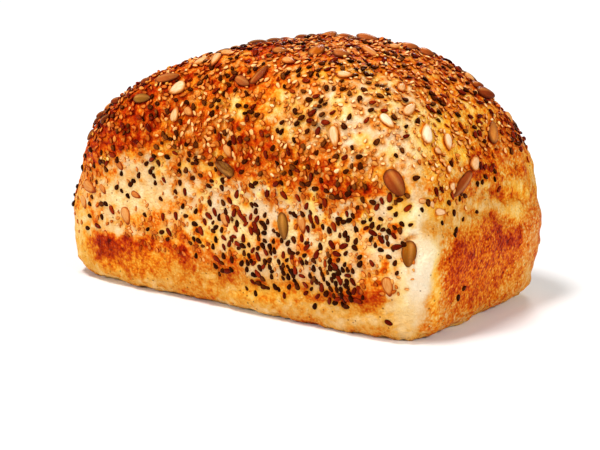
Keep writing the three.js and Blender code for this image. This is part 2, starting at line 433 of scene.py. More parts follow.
bake_and_shade = np.interp(level, BAKE_LEVELS, BAKE_AT_LEVELS)
bake_and_shade += BROAD_BAKE * swell(BROAD_BAKE_SIZE, BROAD_BAKE_LAYER)
section_along, section_across, _ = section_place(form_points)
corner = ramp_up(np.abs(section_along * section_across), *CORNER_PLACE)
corner *= level_ramp(*CORNER_FROM_LEVELS) * (1 - level_ramp(*CORNER_TO_LEVELS))
bake_and_shade += corner * (CORNER_BAKE - bake_and_shade)
for *stroke, stroke_bake in BAKE_STROKES:
    bake_and_shade += STROKE_STRENGTH * stroke_weight(*stroke) * (stroke_bake - bake_and_shade)
stripe_bake = STRIPE_BAKE_AT_FOOT + (CORNER_BAKE - STRIPE_BAKE_AT_FOOT) * level_ramp(*STRIPE_LEVELS)
bake_and_shade += stripe * (stripe_bake - bake_and_shade)
pale_patch = stroke_weight(*PALE_PATCH)
seeded_wall = level_ramp(*SEEDED_FROM_LEVELS)
seeded_wall *= 1 - level_ramp(*SEEDED_TO_LEVELS)
seeded_wall *= (1 - end_facing) * (1 - stripe)
blotch = ramp_up(swell(BLOTCH_SIZE, BLOTCH_LAYER), *BLOTCH_EDGE) * (1 - BLOTCH_LESS_IN_PATCH * pale_patch)
bake_and_shade += BLOTCH_BAKE * seeded_wall * blotch
mottled = ramp_up(bake_and_shade, *MOTTLED_BAKE) * (MOTTLED_ON_WALL + (1 - MOTTLED_ON_WALL) * risen)
mottled *= 1 - MOTTLED_LESS_ON_END * end_facing
for size, layer, strength in MOTTLES:
    bake_and_shade += strength * swell(size, layer) * mottled
# Painted shade in the creases and in the grooves of the stretch streaks
bake_and_shade += CREASE_SHADE * crease - STREAK_GROOVE_SHADE * end_facing * stretch * streak
bake_and_shade += FOOT_LUMP_BAKE * foot * foot_lumps
bake_and_shade += END_BAKE * end_facing * ramp_up(bake_and_shade, *END_BAKED)
bake_and_shade = np.clip(bake_and_shade, 0, 1)
# Golden patches, where the crust is more yellow than red: pixel, half width, half height, share
GOLD_STROKES = [
    (438, 135, 26, 28, 0.95), (460, 152, 20, 14, 0.95), (418, 116, 14, 12, 0.7), (472, 115, 30, 28, 0.75),
    (436, 172, 22, 16, 0.7), (446, 92, 26, 14, 0.6), (240, 106, 14, 12, 0.8), (276, 98, 18, 20, 0.6),
    (325, 74, 26, 10, 0.7), (385, 66, 30, 10, 0.5), (436, 206, 12, 14, 0.7), (205, 236, 22, 16, 0.6),
    (165, 236, 24, 8, 0.6), (240, 254, 14, 10, 0.6), (340, 240, 34, 18, 0.3), (135, 256, 46, 20, 0.5),
    (130, 220, 40, 10, 0.4), (436, 285, 6, 44, 0.8), (514, 192, 14, 10, 0.7), (514, 212, 12, 12, 0.6),
    (498, 172, 20, 12, 0.5), (484, 262, 46, 46, 0.5), (130, 197, 50, 28, 0.3), (80, 225, 14, 40, 0.5),
    (265, 295, 50, 8, 0.5), (380, 282, 14, 10, 0.5), (402, 290, 8, 20, 0.5),
]
# On the sides that don't show, golden patches lie as they may. All over, the crust between the
# seeds is yellowed in spots, fewer in the pale patch.
GOLD_PATCH_SIZE = 26
GOLD_PATCH_LAYER = 18
GOLD_PATCH_EDGE = (0, 0.5)
GOLD_PATCH_SHARE = 0.8
SPOT_SIZE = 9
SPOT_LAYER = 19
SMALL_SPOT_SIZE = 4
SMALL_SPOT_LAYER = 21
SMALL_SPOT_SHARE = 0.5
SPOT_EDGE = (-0.1, 0.4)
SPOTS_ON_WALL = 0.4
SPOTS_ON_DOME = 0.5
SPOTS_LESS_IN_PATCH = 0.8

gold = GOLD_PATCH_SHARE * (1 - facing_view)
gold *= ramp_up(swell(GOLD_PATCH_SIZE, GOLD_PATCH_LAYER), *GOLD_PATCH_EDGE)
for *stroke, share in GOLD_STROKES:
    gold = np.maximum(gold, share * stroke_weight(*stroke))
spots = swell(SPOT_SIZE, SPOT_LAYER) + SMALL_SPOT_SHARE * swell(SMALL_SPOT_SIZE, SMALL_SPOT_LAYER)
spots = ramp_up(spots, *SPOT_EDGE) * (SPOTS_ON_WALL * seeded_wall + SPOTS_ON_DOME * risen)
spots *= (1 - stripe) * (1 - SPOTS_LESS_IN_PATCH * pale_patch)
gold = np.maximum(gold, spots)

# The foot of the walls lay hard against the tin, and is more ochre than red. So is the drawn-out
# dough of the ends.
OCHRE_FOOT_LEVELS = (15, 27)
OCHRE_FOOT_LESS_ON_END = 0.6
OCHRE_BAND_REACH = 2 * STRETCH_REACH
OCHRE_BAND = 0.75
ochre = (1 - level_ramp(*OCHRE_FOOT_LEVELS)) * (1 - OCHRE_FOOT_LESS_ON_END * end_facing)
ochre_band = np.exp(-(((level - STRETCH_LEVEL) / OCHRE_BAND_REACH) ** 2))
ochre = np.maximum(ochre, OCHRE_BAND * end_facing * ochre_band)

# Browned crust is grainy, and the darkest smoother again. The drawn-out dough has upright strands.
LEAST_GRAIN = 0.07
BROWN_GRAIN = 0.35
BROWN_BAKE = (0.2, 0.55)
DARK_BAKE = (0.62, 0.85)
GRAIN_LESS_IN_DARK = 0.5
END_GRAIN = 0.16
END_GRAIN_BAKE = (0.1, 0.4)
STRANDS_ON_WALL = 0.25
grain = LEAST_GRAIN + BROWN_GRAIN * ramp_up(bake_and_shade, *BROWN_BAKE) * (
    1 - GRAIN_LESS_IN_DARK * ramp_up(bake_and_shade, *DARK_BAKE)
)
grain += END_GRAIN * end_facing * (1 - stretch) * ramp_up(bake_and_shade, *END_GRAIN_BAKE)
strands = stretch * (STRANDS_ON_WALL + (1 - STRANDS_ON_WALL) * end_facing)


def linear_colour(red, green, blue):
    """A colour of 0 to 255 as it is seen, turned into the light that a shader mixes."""
    seen = np.array([red, green, blue]) / 255
    light = np.where(seen <= 0.04045, seen / 12.92, ((seen + 0.055) / 1.055) ** 2.4)
    return (*light, 1.0)


def new_finish(name):
    material = bpy.data.materials.new(name)
    material.use_nodes = True
    return material, material.node_tree, material.node_tree.nodes["Principled BSDF"]


def add_node(tree, kind, inputs=None, **settings):
    """A new node with its settings, whose inputs are numbers, colours or other nodes' sockets."""
    node = tree.nodes.new("ShaderNode" + kind)
    for name, value in settings.items():
        setattr(node, name, value)
    for name, value in (inputs or {}).items():
        if isinstance(value, bpy.types.NodeSocket):
            tree.links.new(value, node.inputs[name])
        else:
            node.inputs[name].default_value = value
    return node


def colour_ramp(tree, factor, stops):
    node = add_node(tree, "ValToRGB", {"Fac": factor})
    elements = node.color_ramp.elements
    while len(elements) < len(stops):
        elements.new(1.0)
    for element, (position, colour) in zip(elements, stops):
        element.position = position
        element.color = linear_colour(*colour)
    return node.outputs["Color"]


def math_node(tree, operation, first, second, third=0.0):
    return add_node(tree, "Math", {0: first, 1: second, 2: third}, operation=operation).outputs[0]


NOISE_MIDDLE = 0.5


def noise_node(tree, place, scale, detail, roughness=0.5):
    """Noise from 0 to 1, with a scale of lumps in each unit of the place."""
    inputs = {"Vector": place, "Scale": scale, "Detail": detail, "Roughness": roughness}
    return add_node(tree, "TexNoise", inputs).outputs["Fac"]


def mark(tree, name):
    """The number that each point of the mesh carries under a name."""
    return add_node(tree, "Attribute", attribute_name=name).outputs["Fac"]


def mapped(tree, value, edge, shares):
    """The first share before the edge's two values, the second share past them, even between."""
    inputs = {"From Min": edge[0], "From Max": edge[1], "To Min": shares[0], "To Max": shares[1]}
    return add_node(tree, "MapRange", {"Value": value, **inputs}).outputs["Result"]


def mixed(tree, share, first, second):
    """The first colour where the share is 0, and the second where it is 1."""
    node = add_node(tree, "Mix", {"Factor": share, "A": first, "B": second}, data_type="RGBA")
    return node.outputs["Result"]


def set_shine(shader, shine, tint):
    shader.inputs["Specular IOR Level"].default_value = shine
    shader.inputs["Specular Tint"].default_value = tint


def set_bump(tree, shader, strength, depth, height):
    bump = add_node(tree, "Bump", {"Strength": strength, "Distance": depth, "Height": height})
    tree.links.new(bump.outputs["Normal"], shader.inputs["Normal"])


CRUST_TONES = [
    (0.0, (247, 228, 198)), (0.12, (239, 208, 166)), (0.24, (230, 180, 124)), (0.35, (228, 148, 68)),
    (0.47, (224, 117, 26)), (0.6, (210, 84, 8)), (0.75, (184, 43, 2)), (0.9, (142, 18, 0)),
    (1.0, (90, 9, 0)),
]
OCHRE_TONES = [
    (0.0, (246, 216, 166)), (0.14, (232, 190, 126)), (0.3, (220, 158, 68)), (0.45, (210, 128, 32)),
    (0.6, (196, 92, 11)), (0.75, (176, 56, 5)), (0.9, (134, 26, 2)), (1.0, (80, 12, 1)),
]
GOLD_TONES = [
    (0.0, (255, 236, 176)), (0.15, (255, 214, 112)), (0.3, (254, 186, 54)), (0.45, (246, 148, 20)),
    (0.6, (224, 102, 7)), (0.8, (172, 46, 3)), (1.0, (84, 13, 1)),
]
# Lumps a metre of the crust's grain, what it adds to the tone and the height, and the crust's shine
MOTTLE_SCALE = 820.0
BLISTER_SCALE = 880.0
CLUMP_SCALE = 380.0
STRAND_SCALE = 420.0
FLECK_SCALE = 270.0
PEBBLE_SCALE = 950.0
CLUMP_TONE = 1.3
GRAIN_MIDDLE = 1.57
STRAND_TONE = 0.6
BLISTER_HEIGHT = -0.7
PEBBLE_STRENGTH = 0.85
PEBBLE_DEPTH = 1 * MM
FLECK_EDGE = (0.08, 0.15)
FLECK_SHARES = (0.8, 0.0)
BRAN_COLOUR = (112, 58, 22)
SHINE_EDGE = (0.05, 0.7)
CRUST_ROUGHNESS = (0.65, 0.4)
CRUST_SHINE = 0.03
CRUST_TINT = (1.0, 0.6, 0.3, 1.0)


def crust_finish():
    """Baked crust: tone from how far it is baked and its painted shade, fine mottling, painted highlights
    on blister tops, bran flecks and a pebbled skin.
    """
    material, tree, shader = new_finish("crust")
    place = add_node(tree, "TexCoord").outputs["Object"]
    blister_and_glint = add_node(tree, "TexVoronoi", {"Vector": place, "Scale": BLISTER_SCALE}, feature="SMOOTH_F1")
    blister_and_glint = blister_and_glint.outputs["Distance"]
    mottle = noise_node(tree, place, MOTTLE_SCALE, detail=3.0, roughness=0.55)
    clump = noise_node(tree, place, CLUMP_SCALE, detail=2.0, roughness=0.6)
    # Blister tops are lighter and their edges darker: a painted highlight on each blister, added to the
    # mottling and clumps of the grain
    grain_and_glints = math_node(tree, "ADD", mottle, blister_and_glint)
    grain_and_glints = math_node(tree, "MULTIPLY_ADD", clump, CLUMP_TONE, grain_and_glints)
    grain_and_glints = math_node(tree, "SUBTRACT", grain_and_glints, GRAIN_MIDDLE)
    tone = math_node(tree, "MULTIPLY_ADD", grain_and_glints, mark(tree, "grain"), mark(tree, "bake_and_shade"))
    # The dough that rose over the tin's rim is drawn out into upright strands
    drawn_out = add_node(tree, "VectorMath", {0: place, 1: STRETCHED}, operation="MULTIPLY")
    strand = noise_node(tree, drawn_out.outputs["Vector"], STRAND_SCALE, detail=4.0)
    strand = math_node(tree, "SUBTRACT", strand, NOISE_MIDDLE)
    strand = math_node(tree, "MULTIPLY", strand, mark(tree, "stretch"))
    tone = math_node(tree, "MULTIPLY_ADD", strand, STRAND_TONE, tone)
    colour = colour_ramp(tree, tone, CRUST_TONES)
    for share, tones in (("ochre", OCHRE_TONES), ("gold", GOLD_TONES)):
        colour = mixed(tree, mark(tree, share), colour, colour_ramp(tree, tone, tones))
    fleck = add_node(tree, "TexVoronoi", {"Vector": place, "Scale": FLECK_SCALE, "Randomness": 1.0})
    is_fleck = mapped(tree, fleck.outputs["Distance"], FLECK_EDGE, FLECK_SHARES)
    colour = mixed(tree, is_fleck, colour, linear_colour(*BRAN_COLOUR))
    tree.links.new(colour, shader.inputs["Base Color"])
    set_shine(shader, CRUST_SHINE, CRUST_TINT)
    tree.links.new(mapped(tree, tone, SHINE_EDGE, CRUST_ROUGHNESS), shader.inputs["Roughness"])
    pebble = noise_node(tree, place, PEBBLE_SCALE, detail=3.0, roughness=0.55)
    height = math_node(tree, "MULTIPLY_ADD", blister_and_glint, BLISTER_HEIGHT, pebble)
    height = math_node(tree, "ADD", strand, height)
    set_bump(tree, shader, PEBBLE_STRENGTH, PEBBLE_DEPTH, height)
    return material


def mesh_piece(name, points, faces, marks, finish):
    """A smooth mesh object with a number for each point under each name in marks."""
    mesh = bpy.data.meshes.new(name)
    mesh.from_pydata(points.tolist(), [], faces.tolist())
    mesh.polygons.foreach_set("use_smooth", np.ones(len(faces), dtype=bool))
    for mark_name, values in marks.items():
        attribute = mesh.attributes.new(mark_name, "FLOAT", "POINT")
        attribute.data.foreach_set("value", np.asarray(values, dtype=np.float32))
    mesh.materials.append(finish)
    mesh.update()
    piece = bpy.data.objects.new(name, mesh)
    bpy.context.collection.objects.link(piece)
    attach(piece, "root")
    return piece


crust_marks = {"bake_and_shade": bake_and_shade, "ochre": ochre, "gold": gold, "stretch": strands, "grain": grain}
crust = mesh_piece("crust", crust_points, crust_quads, crust_marks, crust_finish())
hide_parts("loaf")

# Pumpkin seeds
# Hulled pumpkin seeds, flat and pointed at one end, with a fine rim. They were pressed into the
# wet dough, and toasted from olive green to red-brown in the oven.
PUMPKIN_SIZES = (12.4 * MM, 7.0 * MM, 3.3 * MM)  # length, width and thickness
PUMPKIN_FLATNESS_ON_WALL = 1.0
PUMPKIN_SIDES = 28
PUMPKIN_TIP = 0.2
# From the middle of the upper face over the rim: distance out, and height over the seed's plane
PUMPKIN_PROFILE = [
    (0.2, 0.94), (0.42, 0.8), (0.62, 0.64), (0.78, 0.48), (0.9, 0.32), (0.97, 0.16), (1.0, 0.0),
    (0.97, -0.2), (0.85, -0.48), (0.55, -0.82),
]
# Those that show in the photograph: pixel, lean of the long side, length and width in millimetres,
# and tone from olive over amber and tan to dark brown
PUMPKIN_SEEN = [
    (168, 79, -6, 12.0, 5.6, 0.58), (143, 99, 3, 8.4, 5.0, 0.13), (89, 134, 125, 6.0, 4.0, 0.9),
    (117, 100, -5, 7.0, 3.8, 0.85), (146, 82, -20, 5.0, 4.0, 0.85), (101, 114, -20, 6.0, 3.6, 0.9),
    (106, 119, -30, 5.5, 3.4, 0.95), (98, 120, -40, 5.0, 3.2, 1.0), (258, 45, -6, 10.5, 6.4, 1.0),
    (275, 43, -4, 9.6, 6.0, 0.97), (260, 76, -48, 11.5, 4.6, 0.76), (280, 52, 8, 6.5, 5.0, 0.5),
    (317, 52, -45, 8.0, 7.0, 0.32), (304, 38, 2, 8.5, 5.0, 0.9), (329, 36, -28, 8.0, 6.0, 0.55),
    (345, 38, 0, 7.0, 5.0, 0.7), (341, 55, 12, 7.6, 6.6, 0.56), (368, 36, 12, 10.5, 5.5, 0.6),
    (354, 41, -10, 6.0, 5.0, 1.0), (410, 46, 4, 8.6, 5.6, 0.58), (427, 52, 20, 7.6, 6.0, 0.64),
    (479, 84, 5, 6.0, 4.5, 0.75), (485, 94, 12, 9.0, 6.8, 0.84), (492, 133, -84, 10.4, 6.4, 0.48),
    (225, 168, 216, 11.0, 6.0, 0.04), (243, 82, 32, 7.5, 4.6, 0.6), (283, 226, 84, 12.6, 5.8, 0.13),
    (395, 183, 58, 13.2, 8.2, 0.74), (462, 184, 129, 14.6, 5.6, 0.72), (409, 254, 94, 12.0, 6.8, 0.22),
]
PUMPKINS_UNSEEN_PER_CM2 = 0.16
PUMPKIN_SHARE_ON_WALL = 0.25
PUMPKIN_CLEARANCE = 3.2 * MM
PUMPKIN_SIZE_RANGE = (0.85, 1.12)
PUMPKIN_TONE_RANGE = (0.05, 1.0)
PUMPKIN_LIFTS = (0.1 * MM, 0.9 * MM)  # on the walls and on the dome
PUMPKIN_TILT = 0.14
crust_tree = BVHTree.FromPolygons(crust_points.tolist(), crust_quads.tolist())


def ring_solid(rings, first_end, last_end):
    """Points and triangles of a closed solid of rings of points, closed by a point at each end."""
    count, sides, _ = rings.shape
    points = np.concatenate([rings.reshape(-1, 3), [first_end], [last_end]])
    first, last = count * sides, count * sides + 1
    triangles = []
    for side in range(sides):
        after = (side + 1) % sides
        triangles.append((first, side, after))
        for ring in range(count - 1):
            here, there = ring * sides, (ring + 1) * sides
            triangles.append((here + side, there + side, here + after))
            triangles.append((there + side, there + after, here + after))
        triangles.append((last, (count - 1) * sides + after, (count - 1) * sides + side))
    triangles = np.array(triangles)
    corners = points[triangles]
    volume = np.einsum("ij,ij->i", corners[:, 0], np.cross(corners[:, 1], corners[:, 2])).sum()
    return points, triangles if volume > 0 else triangles[:, ::-1]


def pumpkin_shape():
    turn = np.linspace(0, 2 * math.pi, PUMPKIN_SIDES, endpoint=False)
    length = np.cos(turn)
    width = np.sin(turn) * (1 - PUMPKIN_TIP * length)
    width /= width.max()
    outline = np.stack([length, width, np.ones_like(turn)], axis=1)
    rings = np.array([outline * [out, out, height] for out, height in PUMPKIN_PROFILE])
    return ring_solid(rings, (0, 0, 1), (0, 0, -1))


def crust_place(face, point):
    """A point of the crust with the smooth form's normal there."""
    normal = form_normals[crust_quads[face]].mean(axis=0)
    return np.array(point), normal / np.linalg.norm(normal)


SEEN_FROM_SIDE = 0.25
LEAST_SHOWN = 0.6
LEAN_OUT = 0.6
OUTLINE_FACING = (0.1, 0.6)


def seen_place(x, y, lean):
    """Where a pixel of the photograph falls on the crust, the long side's way on it, and the share
    of it that shows. Along the loaf's outline the seeds lean out of the crust, and show their faces."""
    middle = np.array([PHOTO_WIDTH / 2, PHOTO_HEIGHT / 2])
    pixel = np.array([x, y], dtype=float)
    while True:
        point, _, face, _ = crust_tree.ray_cast(Vector(eye), Vector(sight_line(*pixel)))
        if face is not None:
            break
        pixel += (middle - pixel) / np.linalg.norm(middle - pixel)
    point, normal = crust_place(face, point)
    normal = normal + LEAN_OUT * (1 - ramp_up(normal @ view_back, *OUTLINE_FACING)) * view_back
    normal = normal / np.linalg.norm(normal)
    way = math.cos(math.radians(lean)) * view_right - math.sin(math.radians(lean)) * view_up
    way = way - view_back * (normal @ way) / max(normal @ view_back, SEEN_FROM_SIDE)
    return point, normal, way, max(1 / np.linalg.norm(way), LEAST_SHOWN)


seeds_placed = {}
CLEAR_CELL = 6 * MM


def is_clear(point, radius):
    """True, and the place is taken, where no seed placed before comes closer than the two radii."""
    cell = tuple(np.floor(point / CLEAR_CELL).astype(int))
    for step in np.ndindex(3, 3, 3):
        for other, other_radius in seeds_placed.get(tuple(np.add(cell, step) - 1), []):
            if np.linalg.norm(other - point) < radius + other_radius:
                return False
    seeds_placed.setdefault(cell, []).append((point, radius))
    return True


SQUARE_CM = 100 * MM * MM
face_corners = crust_points[crust_quads]
face_diagonals = face_corners[:, 2:] - face_corners[:, :2]
face_area = np.linalg.norm(np.cross(face_diagonals[:, 0], face_diagonals[:, 1]), axis=1) / 2


def drawn_places(density, radius, draw):
    """Clear places on the crust, drawn with a density in seeds a square centimetre."""
    chance = face_area * density[crust_quads].mean(axis=1) / SQUARE_CM
    faces = np.flatnonzero(draw.random(len(crust_quads)) < chance)
    places = []
    for face in draw.permutation(faces):
        first, second, _, fourth = face_corners[face]
        along, across = draw.random(2)
        point, normal = crust_place(face, first + along * (second - first) + across * (fourth - first))
        if is_clear(point, radius):
            places.append((point, normal))
    return places


def lie_flat(point, normal, way, sunk):
    """The turn and place of a seed that lies on the crust with its long side along way."""
    along = way - normal * (normal @ way)
    along = along / np.linalg.norm(along)
    turn = np.stack([along, np.cross(normal, along), normal], axis=1)
    return turn, point - normal * sunk


LOOSE_LEVELS = (58 * MM, 80 * MM)
TILT_ON_WALL = 0.3


def looseness(point):
    """0 on the walls, where the tin pressed the seeds in, and 1 on the dome."""
    return ramp_up(point[2], *LOOSE_LEVELS)


def rested(point, normal, way, on_wall, on_dome, tilt, draw):
    """A seed's turn and place: pressed in on the walls, and lying more loosely on the dome."""
    loose = looseness(point)
    tilted = normal + draw.normal(size=3) * tilt * (TILT_ON_WALL + (1 - TILT_ON_WALL) * loose)
    return lie_flat(point, tilted / np.linalg.norm(tilted), way, -on_wall - (on_dome - on_wall) * loose)


SEAT_SHARE = 0.45


def large_seeds(draw, seen, density, clearance, sizes, wall_flatness, lifts, tilt, size_range, tone_range):
    """Seeds of a large kind: those that show in the photograph, and others drawn over the sides that
    don't. Each is its turn, its place, its half sizes and its tone."""
    seeds = []
    for x, y, lean, length, width, tone in seen:
        point, normal, way, shown = seen_place(x, y, lean)
        is_clear(point, SEAT_SHARE * width * MM)
        thickness = sizes[2] * width * MM / sizes[1]
        thickness *= wall_flatness + (1 - wall_flatness) * looseness(point)
        half = np.array([length * MM / shown, width * MM, thickness]) / 2
        turn, place = rested(point, normal, way, *lifts, 0.0, draw)
        seeds.append((turn, place, half, tone))
    for point, normal in drawn_places(density, clearance, draw):
        half = np.array(sizes) / 2 * draw.uniform(*size_range)
        way = draw.normal(size=3)
        turn, place = rested(point, normal, way, *lifts, tilt, draw)
        seeds.append((turn, place, half, draw.uniform(*tone_range)))
    return seeds


def seed_piece(name, shape, seeds, finish, **more_marks):
    """One mesh of all the seeds of a kind, each point of which carries its place on its seed."""
    points, triangles = shape
    turns = np.array([seed[0] for seed in seeds])
    places = np.array([seed[1] for seed in seeds])
    halves = np.array([seed[2] for seed in seeds])
    all_points = np.einsum("sij,spj->spi", turns, points[None] * halves[:, None]) + places[:, None]
    first = np.arange(len(seeds)) * len(points)
    all_triangles = triangles[None] + first[:, None, None]
    shape_marks = {"tip": points[:, 0], "side": points[:, 1], "height": points[:, 2], **more_marks}
    marks = {mark_name: np.tile(values, len(seeds)) for mark_name, values in shape_marks.items()}
    marks["tone"] = np.repeat([seed[3] for seed in seeds], len(points))
    return mesh_piece(name, all_points.reshape(-1, 3), all_triangles.reshape(-1, 3), marks, finish)


PUMPKIN_TONES = [
    (0.0, (96, 42, 8)), (0.12, (150, 98, 30)), (0.23, (146, 78, 8)), (0.33, (186, 84, 9)),
    (0.45, (204, 120, 44)), (0.57, (180, 90, 36)), (0.72, (154, 64, 20)), (0.86, (128, 46, 15)),
    (1.0, (88, 28, 9)),
]
TONE_SHIFT = 40.0


def streaks(tree, along_scale, side_scale):
    """Noise drawn out along each seed, which differs from seed to seed."""
    place = add_node(
        tree, "CombineXYZ",
        {
            "X": math_node(tree, "MULTIPLY", mark(tree, "tip"), along_scale),
            "Y": math_node(tree, "MULTIPLY", mark(tree, "side"), side_scale),
            "Z": math_node(tree, "MULTIPLY", mark(tree, "tone"), TONE_SHIFT),
        },
    )
    return noise_node(tree, place.outputs[0], scale=1.0, detail=3.0)


PUMPKIN_STREAKS = (1.2, 4.5)
PUMPKIN_STREAK_TONE = 0.24
PUMPKIN_FINE_SCALE = 1500.0
PUMPKIN_FINE_TONE = 0.2
# Painted highlight along a ridge beside the middle; browner to the tip; painted shade round the rim
HIGHLIGHT_SIDE = 0.22
HIGHLIGHT_EDGE = (0.04, 0.4)
HIGHLIGHT_SHARES = (0.45, 0.0)
HIGHLIGHT_EVENNESS = 0.4
HIGHLIGHT_COLOUR = (228, 150, 66)
TIP_EDGE = (-0.4, 1.0)
TIP_SHARES = (0.0, 0.65)
SHADED_RIM_EDGE = (0.74, 0.97)
SHADED_RIM_SHARES = (0.0, 0.85)
TIP_BROWN_AND_RIM_SHADE_COLOUR = (84, 28, 5)
PUMPKIN_ROUGHNESS = 0.26
PUMPKIN_SHINE = 0.06
PUMPKIN_TINT = (1.0, 0.75, 0.5, 1.0)
PUMPKIN_BUMP = 0.4
SKIN_DEPTH = 0.4 * MM


def pumpkin_finish():
    """Toasted seed skin: olive to red-brown, streaked along its length, browner to the tip, with a painted
    highlight along a ridge and painted shade round the rim.
    """
    material, tree, shader = new_finish("pumpkin_seed")
    streak = streaks(tree, *PUMPKIN_STREAKS)
    place = add_node(tree, "TexCoord").outputs["Object"]
    fine = noise_node(tree, place, PUMPKIN_FINE_SCALE, detail=2.0)
    uneven = math_node(tree, "MULTIPLY_ADD", fine, PUMPKIN_FINE_TONE, -PUMPKIN_FINE_TONE / 2)
    streaked = math_node(tree, "SUBTRACT", streak, NOISE_MIDDLE)
    uneven = math_node(tree, "MULTIPLY_ADD", streaked, PUMPKIN_STREAK_TONE, uneven)
    colour = colour_ramp(tree, math_node(tree, "ADD", mark(tree, "tone"), uneven), PUMPKIN_TONES)
    # Painted highlight along a ridge beside the middle of the seed
    from_highlight = math_node(tree, "SUBTRACT", mark(tree, "side"), HIGHLIGHT_SIDE)
    from_highlight = math_node(tree, "ABSOLUTE", from_highlight, 0.0)
    ridge = math_node(tree, "ADD", fine, HIGHLIGHT_EVENNESS)
    ridge = math_node(tree, "MULTIPLY", mapped(tree, from_highlight, HIGHLIGHT_EDGE, HIGHLIGHT_SHARES), ridge)
    colour = mixed(tree, ridge, colour, linear_colour(*HIGHLIGHT_COLOUR))
    # Browner towards the tip, and painted shade round the rim
    is_tip = mapped(tree, mark(tree, "tip"), TIP_EDGE, TIP_SHARES)
    is_shaded_rim = mapped(tree, mark(tree, "rim"), SHADED_RIM_EDGE, SHADED_RIM_SHARES)
    is_brown_or_shaded = math_node(tree, "MAXIMUM", is_tip, is_shaded_rim)
    colour = mixed(tree, is_brown_or_shaded, colour, linear_colour(*TIP_BROWN_AND_RIM_SHADE_COLOUR))
    tree.links.new(colour, shader.inputs["Base Color"])
    shader.inputs["Roughness"].default_value = PUMPKIN_ROUGHNESS
    set_shine(shader, PUMPKIN_SHINE, PUMPKIN_TINT)
    set_bump(tree, shader, PUMPKIN_BUMP, SKIN_DEPTH, math_node(tree, "ADD", streak, fine))
    return material


DOME_LEVELS = (62, 84)
WALL_BAND_LEVELS = (20, 40)
dome = level_ramp(*DOME_LEVELS)
wall_band = level_ramp(*WALL_BAND_LEVELS) * (1 - end_facing)
unseen = 1 - facing_view
PUMPKIN_DRAW = 21
pumpkins = large_seeds(
    np.random.default_rng(PUMPKIN_DRAW), PUMPKIN_SEEN,
    PUMPKINS_UNSEEN_PER_CM2 * unseen * (dome + PUMPKIN_SHARE_ON_WALL * wall_band), PUMPKIN_CLEARANCE,
    PUMPKIN_SIZES, PUMPKIN_FLATNESS_ON_WALL, PUMPKIN_LIFTS, PUMPKIN_TILT,
    PUMPKIN_SIZE_RANGE, PUMPKIN_TONE_RANGE,
)
pumpkin_rim = np.concatenate([np.repeat([out for out, _ in PUMPKIN_PROFILE], PUMPKIN_SIDES), [0, 0]])
pumpkin_seeds = seed_piece("pumpkin_seeds", pumpkin_shape(), pumpkins, pumpkin_finish(), rim=pumpkin_rim)

# Sunflower kernels
# Hulled sunflower kernels, plump drops with soft ridges along their length. Those on top are pale
# cream, and those that sank into the dough of the sides are tan.
KERNEL_SIZES = (8.6 * MM, 4.9 * MM, 2.5 * MM)  # length, width and thickness
KERNEL_FLATNESS_ON_WALL = 0.6
KERNEL_SIDES = 16
KERNEL_RINGS = 11
KERNEL_TIP = 0.36
KERNEL_FULLNESS = 0.9
KERNEL_RIDGE = 0.05
# Those that show in the photograph: pixel, lean of the long side, length and width in millimetres,
# and tone from cream to tan
KERNEL_SEEN = [
    # the dome
    (178, 89, 154, 8.8, 6.2, 0.2), (176, 114, -72, 7.6, 4.4, 0.34), (200, 63, 152, 8.0, 4.6, 0.38),
    (216, 61, 115, 7.0, 4.4, 0.36), (228, 54, 10, 6.0, 4.2, 0.45), (289, 62, 20, 5.6, 4.4, 0.5),
    (345, 76, 6, 7.0, 4.6, 0.3), (401, 88, -70, 4.8, 4.0, 0.4), (409, 110, -45, 7.6, 4.4, 0.28),
    (387, 122, 47, 8.4, 4.4, 0.08), (426, 134, -84, 8.6, 5.8, 0.0), (447, 143, 88, 7.6, 4.4, 0.14),
    (335, 137, 82, 9.8, 4.6, 0.27), (395, 48, 0, 6.0, 4.0, 0.5), (469, 79, 45, 6.5, 4.5, 0.45),
    (508, 119, 60, 7.0, 4.6, 0.5), (474, 163, -65, 6.4, 5.4, 0.28), (371, 54, 40, 10.0, 5.0, 0.6),
    (229, 151, 65, 7.0, 4.2, 0.5), (190, 112, 40, 5.0, 4.0, 0.55),
    # the long wall
    (302, 224, 80, 9.0, 4.8, 0.62), (225, 220, 70, 7.0, 4.4, 0.55), (388, 287, 78, 9.0, 5.2, 0.55),
    (126, 216, 75, 9.0, 5.4, 0.5), (103, 189, 62, 5.5, 3.6, 0.65), (84, 202, 75, 7.0, 4.6, 0.5),
    (90, 187, 35, 8.0, 5.8, 0.6), (120, 166, 60, 5.5, 3.6, 0.75), (136, 195, 28, 5.4, 3.0, 0.7),
    # broken grains at the near corner
    (441, 212, 8, 5.2, 3.2, 0.26), (452, 186, -60, 3.6, 3.2, 0.26), (432, 205, 70, 3.4, 2.6, 0.36),
    (448, 170, 90, 3.4, 2.8, 0.15), (423, 201, 5, 3.8, 2.4, 0.45), (437, 152, 30, 3.8, 3.0, 0.35),
]
KERNELS_UNSEEN_PER_CM2 = 0.24
KERNEL_SHARE_ON_WALL = 0.3
KERNEL_CLEARANCE = 2.2 * MM
KERNEL_SIZE_RANGE = (0.8, 1.15)
KERNEL_TONE_RANGE = (0.05, 0.8)
KERNEL_LIFTS = (0.0, 0.8 * MM)  # on the walls and on the dome
KERNEL_TILT = 0.12
RIDGES = 4


